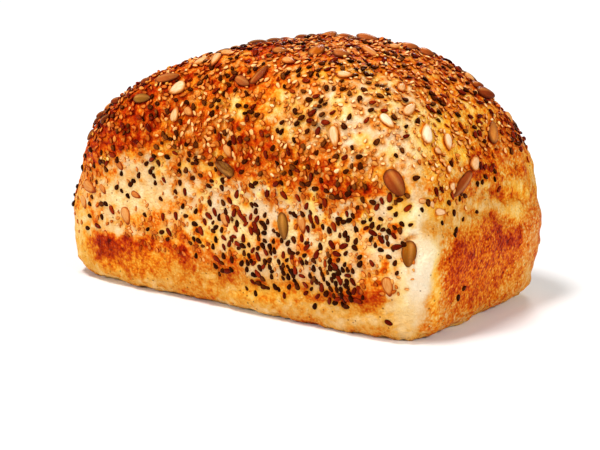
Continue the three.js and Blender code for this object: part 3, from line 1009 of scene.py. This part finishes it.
def drop_shape(sides, rings, tip, fullness=0.85, ridge=0.0):
    """A drop along X whose tip at +X is narrower, with soft ridges along it."""
    slope = np.linspace(0, math.pi, rings + 2)[1:-1]
    turn = np.linspace(0, 2 * math.pi, sides, endpoint=False)
    along = np.cos(slope)[:, None]
    radius = np.sin(slope)[:, None] ** fullness * (1 - tip * along)
    radius = radius / radius.max() * (1 + ridge * np.cos(RIDGES * turn))[None]
    along = np.broadcast_to(along, radius.shape)
    rings = np.stack([along, radius * np.cos(turn), radius * np.sin(turn)], axis=-1)
    return ring_solid(rings, (1, 0, 0), (-1, 0, 0))


KERNEL_TONES = [
    (0.0, (250, 222, 186)), (0.25, (238, 186, 134)), (0.5, (214, 144, 74)), (0.75, (192, 98, 30)),
    (1.0, (134, 48, 6)),
]
KERNEL_STREAKS = (1.5, 4.0)
KERNEL_STREAK_TONE = 0.56
KERNEL_TIP_EDGE = (0.4, 1.0)
KERNEL_TIP_TONES = (0.0, 0.25)
# Painted contact shade, with some browning, darkens each kernel down where it meets the crust
KERNEL_FOOT_SHADE_EDGE = (0.1, 0.7)
KERNEL_FOOT_SHADE_TONES = (0.55, 0.0)
KERNEL_ROUGHNESS = 0.28
KERNEL_SHINE = 0.04
KERNEL_TINT = (1.0, 1.0, 1.0, 1.0)
KERNEL_BUMP = 0.3


def seed_tone(tree, streak, streak_tone, shade_edge, shade_tones):
    """A seed's tone, uneven along its streaks, with painted contact shade and some browning down where it
    meets the crust, and painted light on its top where the tones make it lighter.
    """
    uneven = math_node(tree, "MULTIPLY_ADD", streak, streak_tone, -streak_tone / 2)
    tone = math_node(tree, "ADD", mark(tree, "tone"), uneven)
    return math_node(tree, "ADD", tone, mapped(tree, mark(tree, "height"), shade_edge, shade_tones))


def kernel_finish():
    """Toasted kernel: cream to tan, browner towards the tip, with painted contact shade and some browning
    at its edges where it meets the crust.
    """
    material, tree, shader = new_finish("sunflower_kernel")
    streak = streaks(tree, *KERNEL_STREAKS)
    tone = seed_tone(tree, streak, KERNEL_STREAK_TONE, KERNEL_FOOT_SHADE_EDGE, KERNEL_FOOT_SHADE_TONES)
    at_tip = mapped(tree, mark(tree, "tip"), KERNEL_TIP_EDGE, KERNEL_TIP_TONES)
    tone = math_node(tree, "ADD", tone, at_tip)
    tree.links.new(colour_ramp(tree, tone, KERNEL_TONES), shader.inputs["Base Color"])
    shader.inputs["Roughness"].default_value = KERNEL_ROUGHNESS
    set_shine(shader, KERNEL_SHINE, KERNEL_TINT)
    set_bump(tree, shader, KERNEL_BUMP, SKIN_DEPTH, streak)
    return material


KERNEL_DRAW = 22
kernels = large_seeds(
    np.random.default_rng(KERNEL_DRAW), KERNEL_SEEN,
    KERNELS_UNSEEN_PER_CM2 * unseen * (dome + KERNEL_SHARE_ON_WALL * wall_band), KERNEL_CLEARANCE,
    KERNEL_SIZES, KERNEL_FLATNESS_ON_WALL, KERNEL_LIFTS, KERNEL_TILT, KERNEL_SIZE_RANGE, KERNEL_TONE_RANGE,
)
kernel_shape = drop_shape(KERNEL_SIDES, KERNEL_RINGS, KERNEL_TIP, KERNEL_FULLNESS, KERNEL_RIDGE)
sunflower_kernels = seed_piece("sunflower_kernels", kernel_shape, kernels, kernel_finish())

# Linseed
# Small flat glossy seeds, from red-brown to amber. They stuck to the wet dough: the oven left them
# standing on the dome, and the tin pressed them flush into the walls.
LINSEED_SIZES = (4.4 * MM, 2.4 * MM, 1.4 * MM)  # length, width and thickness
LINSEED_DROP = (12, 6, 0.2)  # sides, rings, and how much narrower the tip is
LINSEED_TONES = [(0.0, (178, 74, 16)), (0.3, (134, 32, 4)), (0.6, (92, 12, 2)), (1.0, (50, 4, 0))]
LINSEED_ROUGHNESS = 0.16
LINSEED_SHINE = 0.06
LINSEED_SHARE = 0.3
LINSEED_CLEARANCE = 1.6 * MM
LINSEED_UPRIGHT = 1.6
LINSEED_LIGHTEST = 0.22
LINSEED_TONE_RANGE = 0.6
LINSEED_TONE_SPREAD = (1.8, 1.6)
# Those that show in the photograph: pixel and lean of the long side
LINSEED_SEEN = [
    # the long wall
    (112, 210, 65), (98, 226, 30), (164, 180, 60), (163, 217, 85), (176, 216, 80), (169, 232, 60),
    (215, 212, 75), (209, 216, 45), (205, 222, 70), (228, 219, 75), (230, 201, 60), (237, 194, -70),
    (240, 214, 70), (244, 219, 60), (236, 229, 60), (201, 231, 70), (224, 238, 40), (224, 247, 75),
    (257, 219, -60), (251, 231, 75), (256, 231, 40), (308, 229, 80), (298, 198, 60), (284, 195, 55),
    (311, 219, 75), (317, 220, 75), (334, 227, 75), (347, 214, 80), (325, 203, 85), (382, 201, 70),
    (377, 207, -60), (394, 236, 55), (397, 247, -10), (408, 208, -40), (332, 245, 60), (344, 246, -20),
    (337, 254, 20), (353, 282, 60), (341, 282, -70), (354, 291, -70), (318, 296, -45), (253, 282, 40),
    (338, 299, -20), (359, 290, 80), (301, 261, 75), (339, 279, 70), (358, 301, 20), (306, 293, -40),
    (228, 271, -10), (217, 259, 40), (302, 276, 20), (373, 233, 30), (389, 323, 30), (185, 192, 85),
    # the dome and the end
    (372, 104, -15), (367, 121, -50), (333, 113, -35), (327, 123, 10), (313, 113, -40), (311, 121, 0),
    (317, 97, -10), (307, 82, 15), (293, 92, 30), (263, 134, 60), (235, 140, 80), (384, 112, 0),
    (406, 137, -20), (429, 109, 50), (436, 192, 80), (441, 190, 60), (499, 189, -60), (492, 166, -60),
    (254, 107, -45), (241, 140, 65), (290, 152, 75), (328, 70, -30), (484, 167, -60), (491, 168, -70),
    (479, 166, 80), (452, 196, 70), (457, 191, 40), (457, 71, 35), (459, 78, 30), (452, 80, 20),
    (446, 84, 30), (461, 94, 15), (443, 97, 30), (469, 118, 10), (478, 117, -20), (460, 126, 60),
    (474, 135, -80), (479, 135, 80), (479, 104, 10), (490, 113, 50), (431, 112, 40), (501, 133, 60),
    (510, 127, 40), (479, 123, 20), (140, 117, 20), (124, 126, 60), (137, 142, 30), (122, 148, -20),
    (113, 155, 10), (150, 128, 60),
]
SPECK_STREAKS = (1.5, 3.0)
SPECK_STREAK_TONE = 0.5
# Painted contact shade, with some browning, darkens each seed down where it meets the crust, and a faint
# painted highlight lightens its top
SPECK_FOOT_SHADE_EDGE = (0.08, 0.62)
SPECK_FOOT_SHADE_AND_TOP_LIGHT_TONES = (0.55, -0.04)
SPECK_TINT = (1.0, 0.55, 0.2, 1.0)


def speck_finish(name, tones, roughness, shine):
    """A small seed's glossy skin, in the tones of its kind, with painted contact shade and some browning
    down where it meets the crust, and a faint painted highlight on its top.
    """
    material, tree, shader = new_finish(name)
    streak = streaks(tree, *SPECK_STREAKS)
    tone = seed_tone(tree, streak, SPECK_STREAK_TONE, SPECK_FOOT_SHADE_EDGE, SPECK_FOOT_SHADE_AND_TOP_LIGHT_TONES)
    tree.links.new(colour_ramp(tree, tone, tones), shader.inputs["Base Color"])
    shader.inputs["Roughness"].default_value = roughness
    set_shine(shader, shine, SPECK_TINT)
    return material


STANDING_SHARE = 0.6
STANDING_RANGE = (0.4, 1.5)
PRESSED_SHARE = 0.05
SPECK_TILT = 0.28
SEEN_SPECK_TILT = 0.08
SPECK_SIZE_RANGE = (0.75, 1.15)
SUNK_BAKE = (0.15, 0.45)
WALL_TOP = (55 * MM, 75 * MM)
UPWARD = np.array([0.0, 0.0, 1.0])
UPRIGHT_ON_DOME = 0.4


def bake_at(point):
    _, _, face, _ = crust_tree.find_nearest(Vector(point))
    return bake_and_shade[crust_quads[face]].mean()


def on_wall_share(point):
    return 1 - ramp_up(point[2], *WALL_TOP)


def scattered(draw, seen, density, clearance, sizes, upright, tone_of, sinking=0.0):
    """Seeds of a small kind: those that show in the photograph, and others drawn over the crust. On
    the walls they lie more or less upright, as upright says. On pale dough they sank by the share in
    sinking, and look that much smaller."""
    places = []
    for x, y, lean in seen:
        point, normal, way, _ = seen_place(x, y, lean)
        is_clear(point, clearance)
        places.append((point, normal, way, SEEN_SPECK_TILT))
    for point, normal in drawn_places(density, clearance, draw):
        share = UPRIGHT_ON_DOME + (1 - UPRIGHT_ON_DOME) * on_wall_share(point)
        way = draw.normal(size=3) + UPWARD * upright * share
        places.append((point, normal, way, SPECK_TILT))
    seeds = []
    for point, normal, way, tilt in places:
        toast = bake_at(point)
        sunk = sinking * (1 - ramp_up(toast, *SUNK_BAKE))
        half = np.array(sizes) / 2 * draw.uniform(*SPECK_SIZE_RANGE) * (1 - sunk)
        on_dome = STANDING_SHARE * sizes[2] * draw.uniform(*STANDING_RANGE)
        turn, place = rested(point, normal, way, PRESSED_SHARE * sizes[2], on_dome, tilt, draw)
        seeds.append((turn, place, half, tone_of(draw, toast, on_wall_share(point))))
    return seeds


# Where more dark seeds lie in the photograph: pixel, half width, half height, seeds a square cm
DARK_STROKES = [
    # the long wall
    (342, 287, 15, 14, 26), (338, 271, 8, 7, 16), (261, 264, 13, 16, 9), (287, 267, 11, 12, 13),
    (224, 266, 10, 8, 7), (258, 284, 12, 7, 9), (247, 250, 18, 12, 3), (200, 240, 14, 16, 2),
    (320, 280, 12, 10, 4), (300, 250, 44, 22, 2.4), (362, 246, 18, 20, 2.4), (238, 220, 24, 18, 3),
    (388, 240, 9, 12, 9), (330, 262, 24, 12, 2), (315, 212, 22, 10, 1.2), (345, 225, 20, 14, 1.4),
    (225, 228, 24, 14, 2.4), (285, 285, 20, 8, 4), (330, 298, 16, 8, 5), (265, 250, 16, 12, 4),
    (255, 226, 20, 13, 3.5), (405, 228, 8, 14, 3.2), (315, 285, 14, 10, 3), (345, 256, 24, 13, 2.2),
    (165, 166, 22, 11, 1.6), (372, 226, 16, 12, 2.4),
    # the shoulder
    (190, 152, 30, 16, 1.2), (175, 140, 18, 10, 0.8), (240, 140, 20, 14, 1.5), (262, 152, 40, 18, 0.9),
    (305, 172, 40, 14, 1.6), (338, 187, 28, 11, 2.2), (350, 157, 26, 8, 0.8), (205, 168, 20, 10, 1.5),
    (300, 192, 30, 10, 1.4), (385, 197, 16, 10, 3), (405, 198, 14, 9, 3), (108, 163, 20, 8, 2),
    # the dome
    (112, 118, 26, 25, 1.0), (150, 105, 24, 16, 0.6), (165, 100, 20, 14, 0.4), (220, 80, 40, 26, 1.3),
    (245, 65, 24, 14, 2), (330, 68, 40, 10, 1.4), (375, 75, 14, 10, 2), (350, 115, 46, 30, 0.7),
    (270, 125, 30, 20, 0.9), (400, 68, 40, 20, 0.6), (430, 112, 20, 14, 0.8), (480, 95, 30, 25, 0.1),
    (300, 82, 16, 12, 1.4), (512, 137, 10, 18, 1.6), (470, 128, 20, 14, 0.4), (230, 110, 20, 12, 0.7),
    (300, 45, 90, 10, 0.9),
    # the end over the tin's rim
    (487, 172, 9, 8, 1.6), (458, 192, 10, 9, 3),
]
# On the sides that don't show they lie in patches
PATCH_SIZE = 24
PATCH_LAYER = 20
PATCH_MIDDLE = 0.7
PATCH_RANGE = (0.1, 2)
DARK_ON_DOME_PER_CM2 = 1.8
DARK_ON_WALL_PER_CM2 = 2.6
dark_density = np.zeros(len(form_points))
for *stroke, density in DARK_STROKES:
    dark_density += density * stroke_weight(*stroke)
patches = (PATCH_MIDDLE + swell(PATCH_SIZE, PATCH_LAYER)).clip(*PATCH_RANGE)
dark_density += unseen * patches * (DARK_ON_DOME_PER_CM2 * dome + DARK_ON_WALL_PER_CM2 * wall_band)


def linseed_tone(draw, toast, wall):
    return LINSEED_LIGHTEST + LINSEED_TONE_RANGE * draw.beta(*LINSEED_TONE_SPREAD)


LINSEED_DRAW = 23
linseeds = scattered(
    np.random.default_rng(LINSEED_DRAW), LINSEED_SEEN, LINSEED_SHARE * dark_density, LINSEED_CLEARANCE,
    LINSEED_SIZES, LINSEED_UPRIGHT, linseed_tone,
)
linseed_finish = speck_finish("linseed", LINSEED_TONES, LINSEED_ROUGHNESS, LINSEED_SHINE)
linseed = seed_piece("linseed", drop_shape(*LINSEED_DROP), linseeds, linseed_finish)

# Black sesame
# Small flat black drops of sesame in its skin, thickest in a band along the sides. Like the linseed
# they stuck to the wet dough, and the oven browned those on the dome a little.
BLACK_SIZES = (3.3 * MM, 2.3 * MM, 1.5 * MM)  # length, width and thickness
BLACK_DROP = (10, 6, 0.28)  # sides, rings, and how much narrower the tip is
BLACK_TONES = [(0.0, (122, 62, 18)), (0.3, (70, 21, 2)), (0.6, (42, 8, 0)), (1.0, (20, 2, 0))]
BLACK_ROUGHNESS = 0.18
BLACK_SHINE = 0.04
BLACK_SHARE = 2.0
BLACK_CLEARANCE = 1.08 * MM
BLACK_UPRIGHT = 1.6
BLACK_TONE = 0.52
BLACK_TONE_LESS_BY_TOAST = 0.4
BLACK_TONE_SPREAD = 0.14
# Those that show in the photograph: pixel and lean of the long side
BLACK_SEEN = [
    # the left edge
    (79, 167, 80), (78, 187, 60), (75, 195, 60), (73, 203, -60), (86, 156, 60), (91, 150, 40),
    (109, 107, -20),
    # the pale patch on the left
    (97, 182, 80), (92, 197, 60), (90, 204, 50), (102, 204, 10), (106, 204, 30), (102, 217, 80),
    (90, 216, 30), (88, 228, 0), (139, 175, -75), (134, 181, 20), (131, 184, -35), (117, 187, -50),
    (122, 191, 50), (128, 196, 55), (153, 168, -20), (154, 176, 60), (155, 156, 20), (159, 163, 70),
    (141, 154, 20), (161, 199, 45), (176, 192, 60), (180, 183, 85), (180, 164, -50), (180, 171, 60),
    (190, 154, 85), (189, 160, 60), (145, 215, 50), (148, 229, -40), (162, 232, -20), (168, 239, -30),
    (104, 162, 70),
    # the long wall
    (186, 216, 0), (183, 206, -70), (196, 211, -65), (195, 224, 20), (198, 231, 40), (194, 239, 70),
    (199, 241, 40), (203, 246, 10), (212, 181, 10), (209, 186, 30), (223, 181, 75), (222, 188, 70),
    (230, 176, -30), (256, 183, -20), (252, 186, 30), (282, 183, 60), (210, 203, 75), (232, 239, 75),
    (239, 248, -20), (243, 246, 30), (249, 245, 70), (252, 205, 70), (256, 205, 30), (265, 215, -70),
    (265, 241, 40), (263, 246, 60), (258, 248, -50), (270, 247, 75), (271, 253, 70), (274, 231, 60),
    (291, 213, 20), (295, 215, 50), (288, 243, -60), (294, 240, 70), (307, 243, -15), (293, 253, 10),
    (298, 253, -30), (287, 260, -50), (279, 262, 80), (265, 262, 85), (252, 262, 60), (260, 268, 70),
    (254, 275, 30), (263, 279, 40), (264, 287, 10), (268, 288, 20), (288, 267, 60), (290, 271, 80),
    (293, 274, 40), (302, 262, 60), (314, 261, 50), (314, 279, -60), (324, 279, 85), (320, 284, 50),
    (232, 260, 85), (242, 263, -60), (222, 263, 30), (224, 271, 20), (249, 256, 80), (315, 306, -70),
    (321, 206, -70), (339, 219, -10), (338, 223, 75), (344, 222, -15), (323, 227, 80), (353, 216, 70),
    (327, 191, 25), (333, 197, 20), (339, 197, 5), (355, 187, 80), (366, 187, 70), (363, 200, 70),
    (390, 208, -20), (396, 214, -70), (381, 219, 30), (400, 200, -10), (402, 224, 50), (400, 231, 80),
    (382, 238, -70), (387, 238, 80), (388, 244, 75), (389, 232, 60), (393, 249, 80), (381, 250, 10),
    (389, 257, 20), (395, 263, -70), (397, 273, -60), (356, 241, -70), (355, 248, 40), (360, 264, -60),
    (335, 269, 20), (334, 276, 80), (339, 272, 60), (347, 282, 70), (348, 288, 50), (334, 296, 85),
    (342, 296, 85), (350, 299, 65), (295, 281, 40), (336, 284, 85), (338, 275, 70), (332, 280, 80),
    (337, 290, 75), (345, 286, 70), (349, 293, 50), (331, 289, 60), (341, 290, 80), (293, 272, 60),
    (297, 285, 60), (360, 257, -40), (345, 301, 70),
    # the near corner and the end
    (416, 178, -15), (422, 210, 65), (428, 203, 80), (442, 223, 60), (449, 203, 60), (454, 213, 80),
    (463, 219, -70), (465, 196, 20), (477, 212, 25), (456, 230, -70), (455, 235, 60), (482, 182, -70),
    (477, 184, 80), (485, 177, 40), (464, 288, -35), (458, 298, 80),
    # the pale plateau of the dome
    (327, 89, 85), (334, 89, -75), (343, 90, -10), (342, 82, -30), (355, 76, -15), (373, 70, 50),
    (371, 77, -60), (384, 67, 5), (377, 86, -20), (382, 87, -40), (380, 97, 20), (388, 95, 10),
    (371, 111, -30), (323, 115, -30), (320, 107, 20), (303, 118, -35), (298, 124, -30), (296, 112, 70),
    (308, 131, -40), (278, 131, 80), (377, 142, -50), (396, 156, 50), (360, 157, -10), (353, 148, 70),
    (325, 144, -40), (304, 147, 80), (258, 115, -20), (240, 129, 40), (237, 91, -40), (402, 151, 70),
    (406, 127, -40), (438, 114, 50), (438, 121, 40), (457, 116, 30), (451, 164, 75), (465, 132, -10),
    # the right and the left of the dome
    (449, 68, 30), (467, 84, 0), (465, 91, 30), (438, 102, 40), (442, 105, 30), (474, 128, 20),
    (431, 95, 30), (514, 129, 50), (131, 92, 40), (112, 106, 30), (123, 108, 20), (152, 108, 30),
    (158, 104, 30), (157, 112, 70), (152, 117, 80), (178, 101, 20), (188, 103, 40), (181, 122, 80),
    (169, 112, 60), (114, 117, 30), (105, 123, 20), (168, 137, 30), (172, 139, 10), (176, 138, -20),
    (178, 133, 60), (157, 147, 30), (175, 147, 40), (168, 157, 30), (114, 148, 60),
]
BLACK_DRAW = 24


def black_tone(draw, toast, wall):
    browned = BLACK_TONE_LESS_BY_TOAST * toast * (1 - wall)
    return np.clip(BLACK_TONE - browned + draw.normal(0.0, BLACK_TONE_SPREAD), 0, 1)


blacks = scattered(
    np.random.default_rng(BLACK_DRAW), BLACK_SEEN, BLACK_SHARE * dark_density, BLACK_CLEARANCE,
    BLACK_SIZES, BLACK_UPRIGHT, black_tone,
)
black_finish = speck_finish("black_sesame", BLACK_TONES, BLACK_ROUGHNESS, BLACK_SHINE)
black_sesame = seed_piece("black_sesame", drop_shape(*BLACK_DROP), blacks, black_finish)

# White and brown sesame
# Hulled sesame and sesame in its skin, thick over the whole dome and sparse on the walls, toasted
# with the crust under it from cream to brown.
SESAME_SIZES = (3.1 * MM, 1.95 * MM, 1.2 * MM)  # length, width and thickness
SESAME_DROP = (7, 5, 0.32)  # sides, rings, and how much narrower the tip is
SESAME_ROUGHNESS = 0.2
SESAME_SHINE = 0.04
SESAME_CLEARANCE = 0.8 * MM
SESAME_UPRIGHT = 0.8
SESAME_SINKING = 0.26
TONE_BY_TOAST = 0.62
TONE_BY_WALL = 0.06
SESAME_TONE_SPREAD = 0.12
WHITE_TONES = [
    (0.0, (248, 220, 170)), (0.25, (240, 190, 120)), (0.5, (226, 134, 50)), (0.75, (188, 62, 7)),
    (1.0, (118, 22, 1)),
]
BROWN_TONES = [(0.0, (224, 156, 74)), (0.35, (198, 102, 28)), (0.7, (146, 46, 6)), (1.0, (92, 17, 1))]
WHITE_PER_CM2 = 8.5
WHITE_ON_WALL = 0.5
WHITE_LIGHTEST = 0.17
WHITE_DRAW = 25
BROWN_PER_CM2 = 7.5
BROWN_ON_WALL = 1.3
BROWN_LIGHTEST = 0.12
BROWN_DRAW = 26
# Where sesame lies on the near corner and the shoulder in the photograph: pixel, half width, half
# height, share
THICK_STROKES = [
    (442, 165, 28, 20, 0.7), (440, 198, 14, 18, 0.5), (475, 152, 18, 14, 0.7), (300, 174, 52, 14, 1.0),
    (345, 188, 32, 12, 1.0), (240, 152, 38, 13, 0.95),
]
# Where sesame lies thin in the photograph: pixel, half width, half height, share that is missing
THIN_STROKES = [
    (405, 145, 30, 34, 0.5), (274, 104, 20, 20, 0.4), (415, 215, 24, 40, 0.92), (130, 197, 42, 26, 0.6),
    (92, 235, 24, 30, 0.9), (235, 107, 14, 12, 0.5), (468, 115, 34, 36, 0.35),
]
END_TOP_LEVELS = (74, 90)
MISSING_ON_END = 0.85
on_end = end_facing * (1 - level_ramp(*END_TOP_LEVELS))


def sesame_share(on_wall):
    """Share of the sesame's full density at each point of the crust."""
    share = np.maximum(dome, on_wall * seeded_wall * patches) * (1 - MISSING_ON_END * on_end)
    for *stroke, thick in THICK_STROKES:
        share = np.maximum(share, thick * stroke_weight(*stroke))
    for *stroke, missing in THIN_STROKES:
        share = share * (1 - missing * stroke_weight(*stroke))
    return share


def sesame_piece(name, density, tones, seed, lightest):
    def sesame_tone(draw, toast, wall):
        tone = lightest + TONE_BY_TOAST * toast + TONE_BY_WALL * wall
        return np.clip(tone + draw.normal(0.0, SESAME_TONE_SPREAD), 0, 1)

    seeds = scattered(
        np.random.default_rng(seed), [], density, SESAME_CLEARANCE, SESAME_SIZES, SESAME_UPRIGHT,
        sesame_tone, SESAME_SINKING,
    )
    finish = speck_finish(name, tones, SESAME_ROUGHNESS, SESAME_SHINE)
    piece = seed_piece(name, drop_shape(*SESAME_DROP), seeds, finish)


white_density = WHITE_PER_CM2 * sesame_share(WHITE_ON_WALL)
sesame_piece("white_sesame", white_density, WHITE_TONES, WHITE_DRAW, WHITE_LIGHTEST)
brown_density = BROWN_PER_CM2 * sesame_share(BROWN_ON_WALL)
sesame_piece("brown_sesame", brown_density, BROWN_TONES, BROWN_DRAW, BROWN_LIGHTEST)

# Millet
# Hulled millet, round cream to yellow grains between the sesame of the dome. They stuck to the wet
# dough, and toasted with the crust under them.
MILLET_SIZES = (1.9 * MM, 1.71 * MM, 1.52 * MM)  # length, width and thickness
MILLET_DROP = (8, 4, 0.0)  # sides, rings, and how much narrower the tip is
MILLET_PER_CM2 = 0.9
MILLET_CLEARANCE = 0.7 * MM
MILLET_UPRIGHT = 0.0
MILLET_TONES = [(0.0, (250, 228, 176)), (0.4, (244, 196, 100)), (0.7, (226, 144, 44)), (1.0, (160, 76, 20))]
MILLET_ROUGHNESS = 0.3
MILLET_SHINE = 0.1
MILLET_LIGHTEST = 0.22
MILLET_TONE_BY_TOAST = 0.6
MILLET_TONE_SPREAD = 0.14
MILLET_DRAW = 27


def millet_tone(draw, toast, wall):
    tone = MILLET_LIGHTEST + MILLET_TONE_BY_TOAST * toast
    return np.clip(tone + draw.normal(0.0, MILLET_TONE_SPREAD), 0, 1)


millets = scattered(
    np.random.default_rng(MILLET_DRAW), [], MILLET_PER_CM2 * sesame_share(WHITE_ON_WALL), MILLET_CLEARANCE,
    MILLET_SIZES, MILLET_UPRIGHT, millet_tone,
)
millet_finish = speck_finish("millet", MILLET_TONES, MILLET_ROUGHNESS, MILLET_SHINE)
millet = seed_piece("millet", drop_shape(*MILLET_DROP), millets, millet_finish)

# The crust around the seeds
# Around each seed the crust is darker: browning from the heat the seed held, and painted contact shade.
# Now that every seed has its place, the crust's bake and painted shade are written once more with these
# rings in it.
HALO_REACH = 1.3 * MM
HALO_SHADE_AND_BAKE_ON_WALL = 0.05
HALO_SHADE_AND_BAKE_ON_DOME = 0.16
HALO_LESS_IN_BROWN = 0.5
HALO_BROWN_BAKE = (0.35, 0.65)
LARGE_HALO_REACH = 1.5 * MM
LARGE_HALO_SHADE_AND_BAKE = 0.34
ALONG_LARGE_SEED = np.array([-0.6, -0.3, 0.0, 0.3, 0.6])
LARGE_SEED_TAPER = 0.4
every_place = [place for cell in seeds_placed.values() for place in cell]
along_large_seeds = [
    (place + turn[:, 0] * half[0] * share, half[1] * (1 - LARGE_SEED_TAPER * abs(share)))
    for turn, place, half, _ in pumpkins + kernels
    for share in ALONG_LARGE_SEED
]


def halo_of(places, reach):
    """1 at the edge of the nearest place, by its radius, falling to 0 at the reach, all over the crust."""
    tree = KDTree(len(places))
    for number, (point, _) in enumerate(places):
        tree.insert(point, number)
    tree.balance()
    found = [tree.find(point) for point in crust_points]
    from_edge = np.array([distance - places[nearest][1] for _, nearest, distance in found])
    return np.clip(1 - from_edge / reach, 0, 1)


halo_shade_and_bake = HALO_SHADE_AND_BAKE_ON_WALL + (HALO_SHADE_AND_BAKE_ON_DOME - HALO_SHADE_AND_BAKE_ON_WALL) * dome
halo_shade_and_bake *= 1 - HALO_LESS_IN_BROWN * ramp_up(bake_and_shade, *HALO_BROWN_BAKE)
haloed_bake_and_shade = bake_and_shade + halo_shade_and_bake * halo_of(every_place, HALO_REACH)
haloed_bake_and_shade += LARGE_HALO_SHADE_AND_BAKE * dome * halo_of(along_large_seeds, LARGE_HALO_REACH)
haloed_bake_and_shade = np.clip(haloed_bake_and_shade, 0, 1)
crust.data.attributes["bake_and_shade"].data.foreach_set("value", haloed_bake_and_shade.astype(np.float32))

# The studio
# A plain pale floor under the loaf, an even white surround, and four large soft lights: one from
# above, one from the front, one from the side of the visible end, and one from behind.
FLOOR_HALF = 3.0
FLOOR_COLOUR = (0.9, 0.9, 0.89, 1.0)
FLOOR_ROUGHNESS = 0.7
SURROUND_COLOUR = (1.0, 1.0, 1.0, 1.0)
SURROUND_STRENGTH = 0.23
LIGHT_TARGET = Vector((0, 0, 0.06))
LIGHTS = [  # name, place and width in metres, and power in watts
    ("top_light", (-0.4, -0.8, 2.6), 0.55, 49.5),
    ("front_light", (-1.2, -2.6, 1.5), 0.6, 35.6),
    ("side_light", (2.7, -1.0, 1.8), 0.6, 52.0),
    ("back_light", (-1.2, 2.6, 1.8), 0.8, 32.0),
]
floor_mesh = bpy.data.meshes.new("floor")
floor_mesh.from_pydata(
    [(x * FLOOR_HALF, y * FLOOR_HALF, 0) for x, y in ((-1, -1), (1, -1), (1, 1), (-1, 1))],
    [], [(0, 1, 2, 3)],
)
floor = bpy.data.objects.new("floor", floor_mesh)
bpy.context.collection.objects.link(floor)
floor_finish, _, floor_shader = new_finish("floor")
floor_shader.inputs["Base Color"].default_value = FLOOR_COLOUR
floor_shader.inputs["Roughness"].default_value = FLOOR_ROUGHNESS
floor_mesh.materials.append(floor_finish)

world = bpy.data.worlds.new("studio")
world.use_nodes = True
world.node_tree.nodes["Background"].inputs["Color"].default_value = SURROUND_COLOUR
world.node_tree.nodes["Background"].inputs["Strength"].default_value = SURROUND_STRENGTH
bpy.context.scene.world = world
bpy.context.scene.view_settings.view_transform = "Standard"
for name, place, width, power in LIGHTS:
    light = bpy.data.lights.new(name, "AREA")
    light.size = width
    light.energy = power
    lamp = bpy.data.objects.new(name, light)
    lamp.location = place
    lamp.rotation_euler = (LIGHT_TARGET - Vector(place)).to_track_quat("-Z", "Y").to_euler()
    bpy.context.collection.objects.link(lamp)
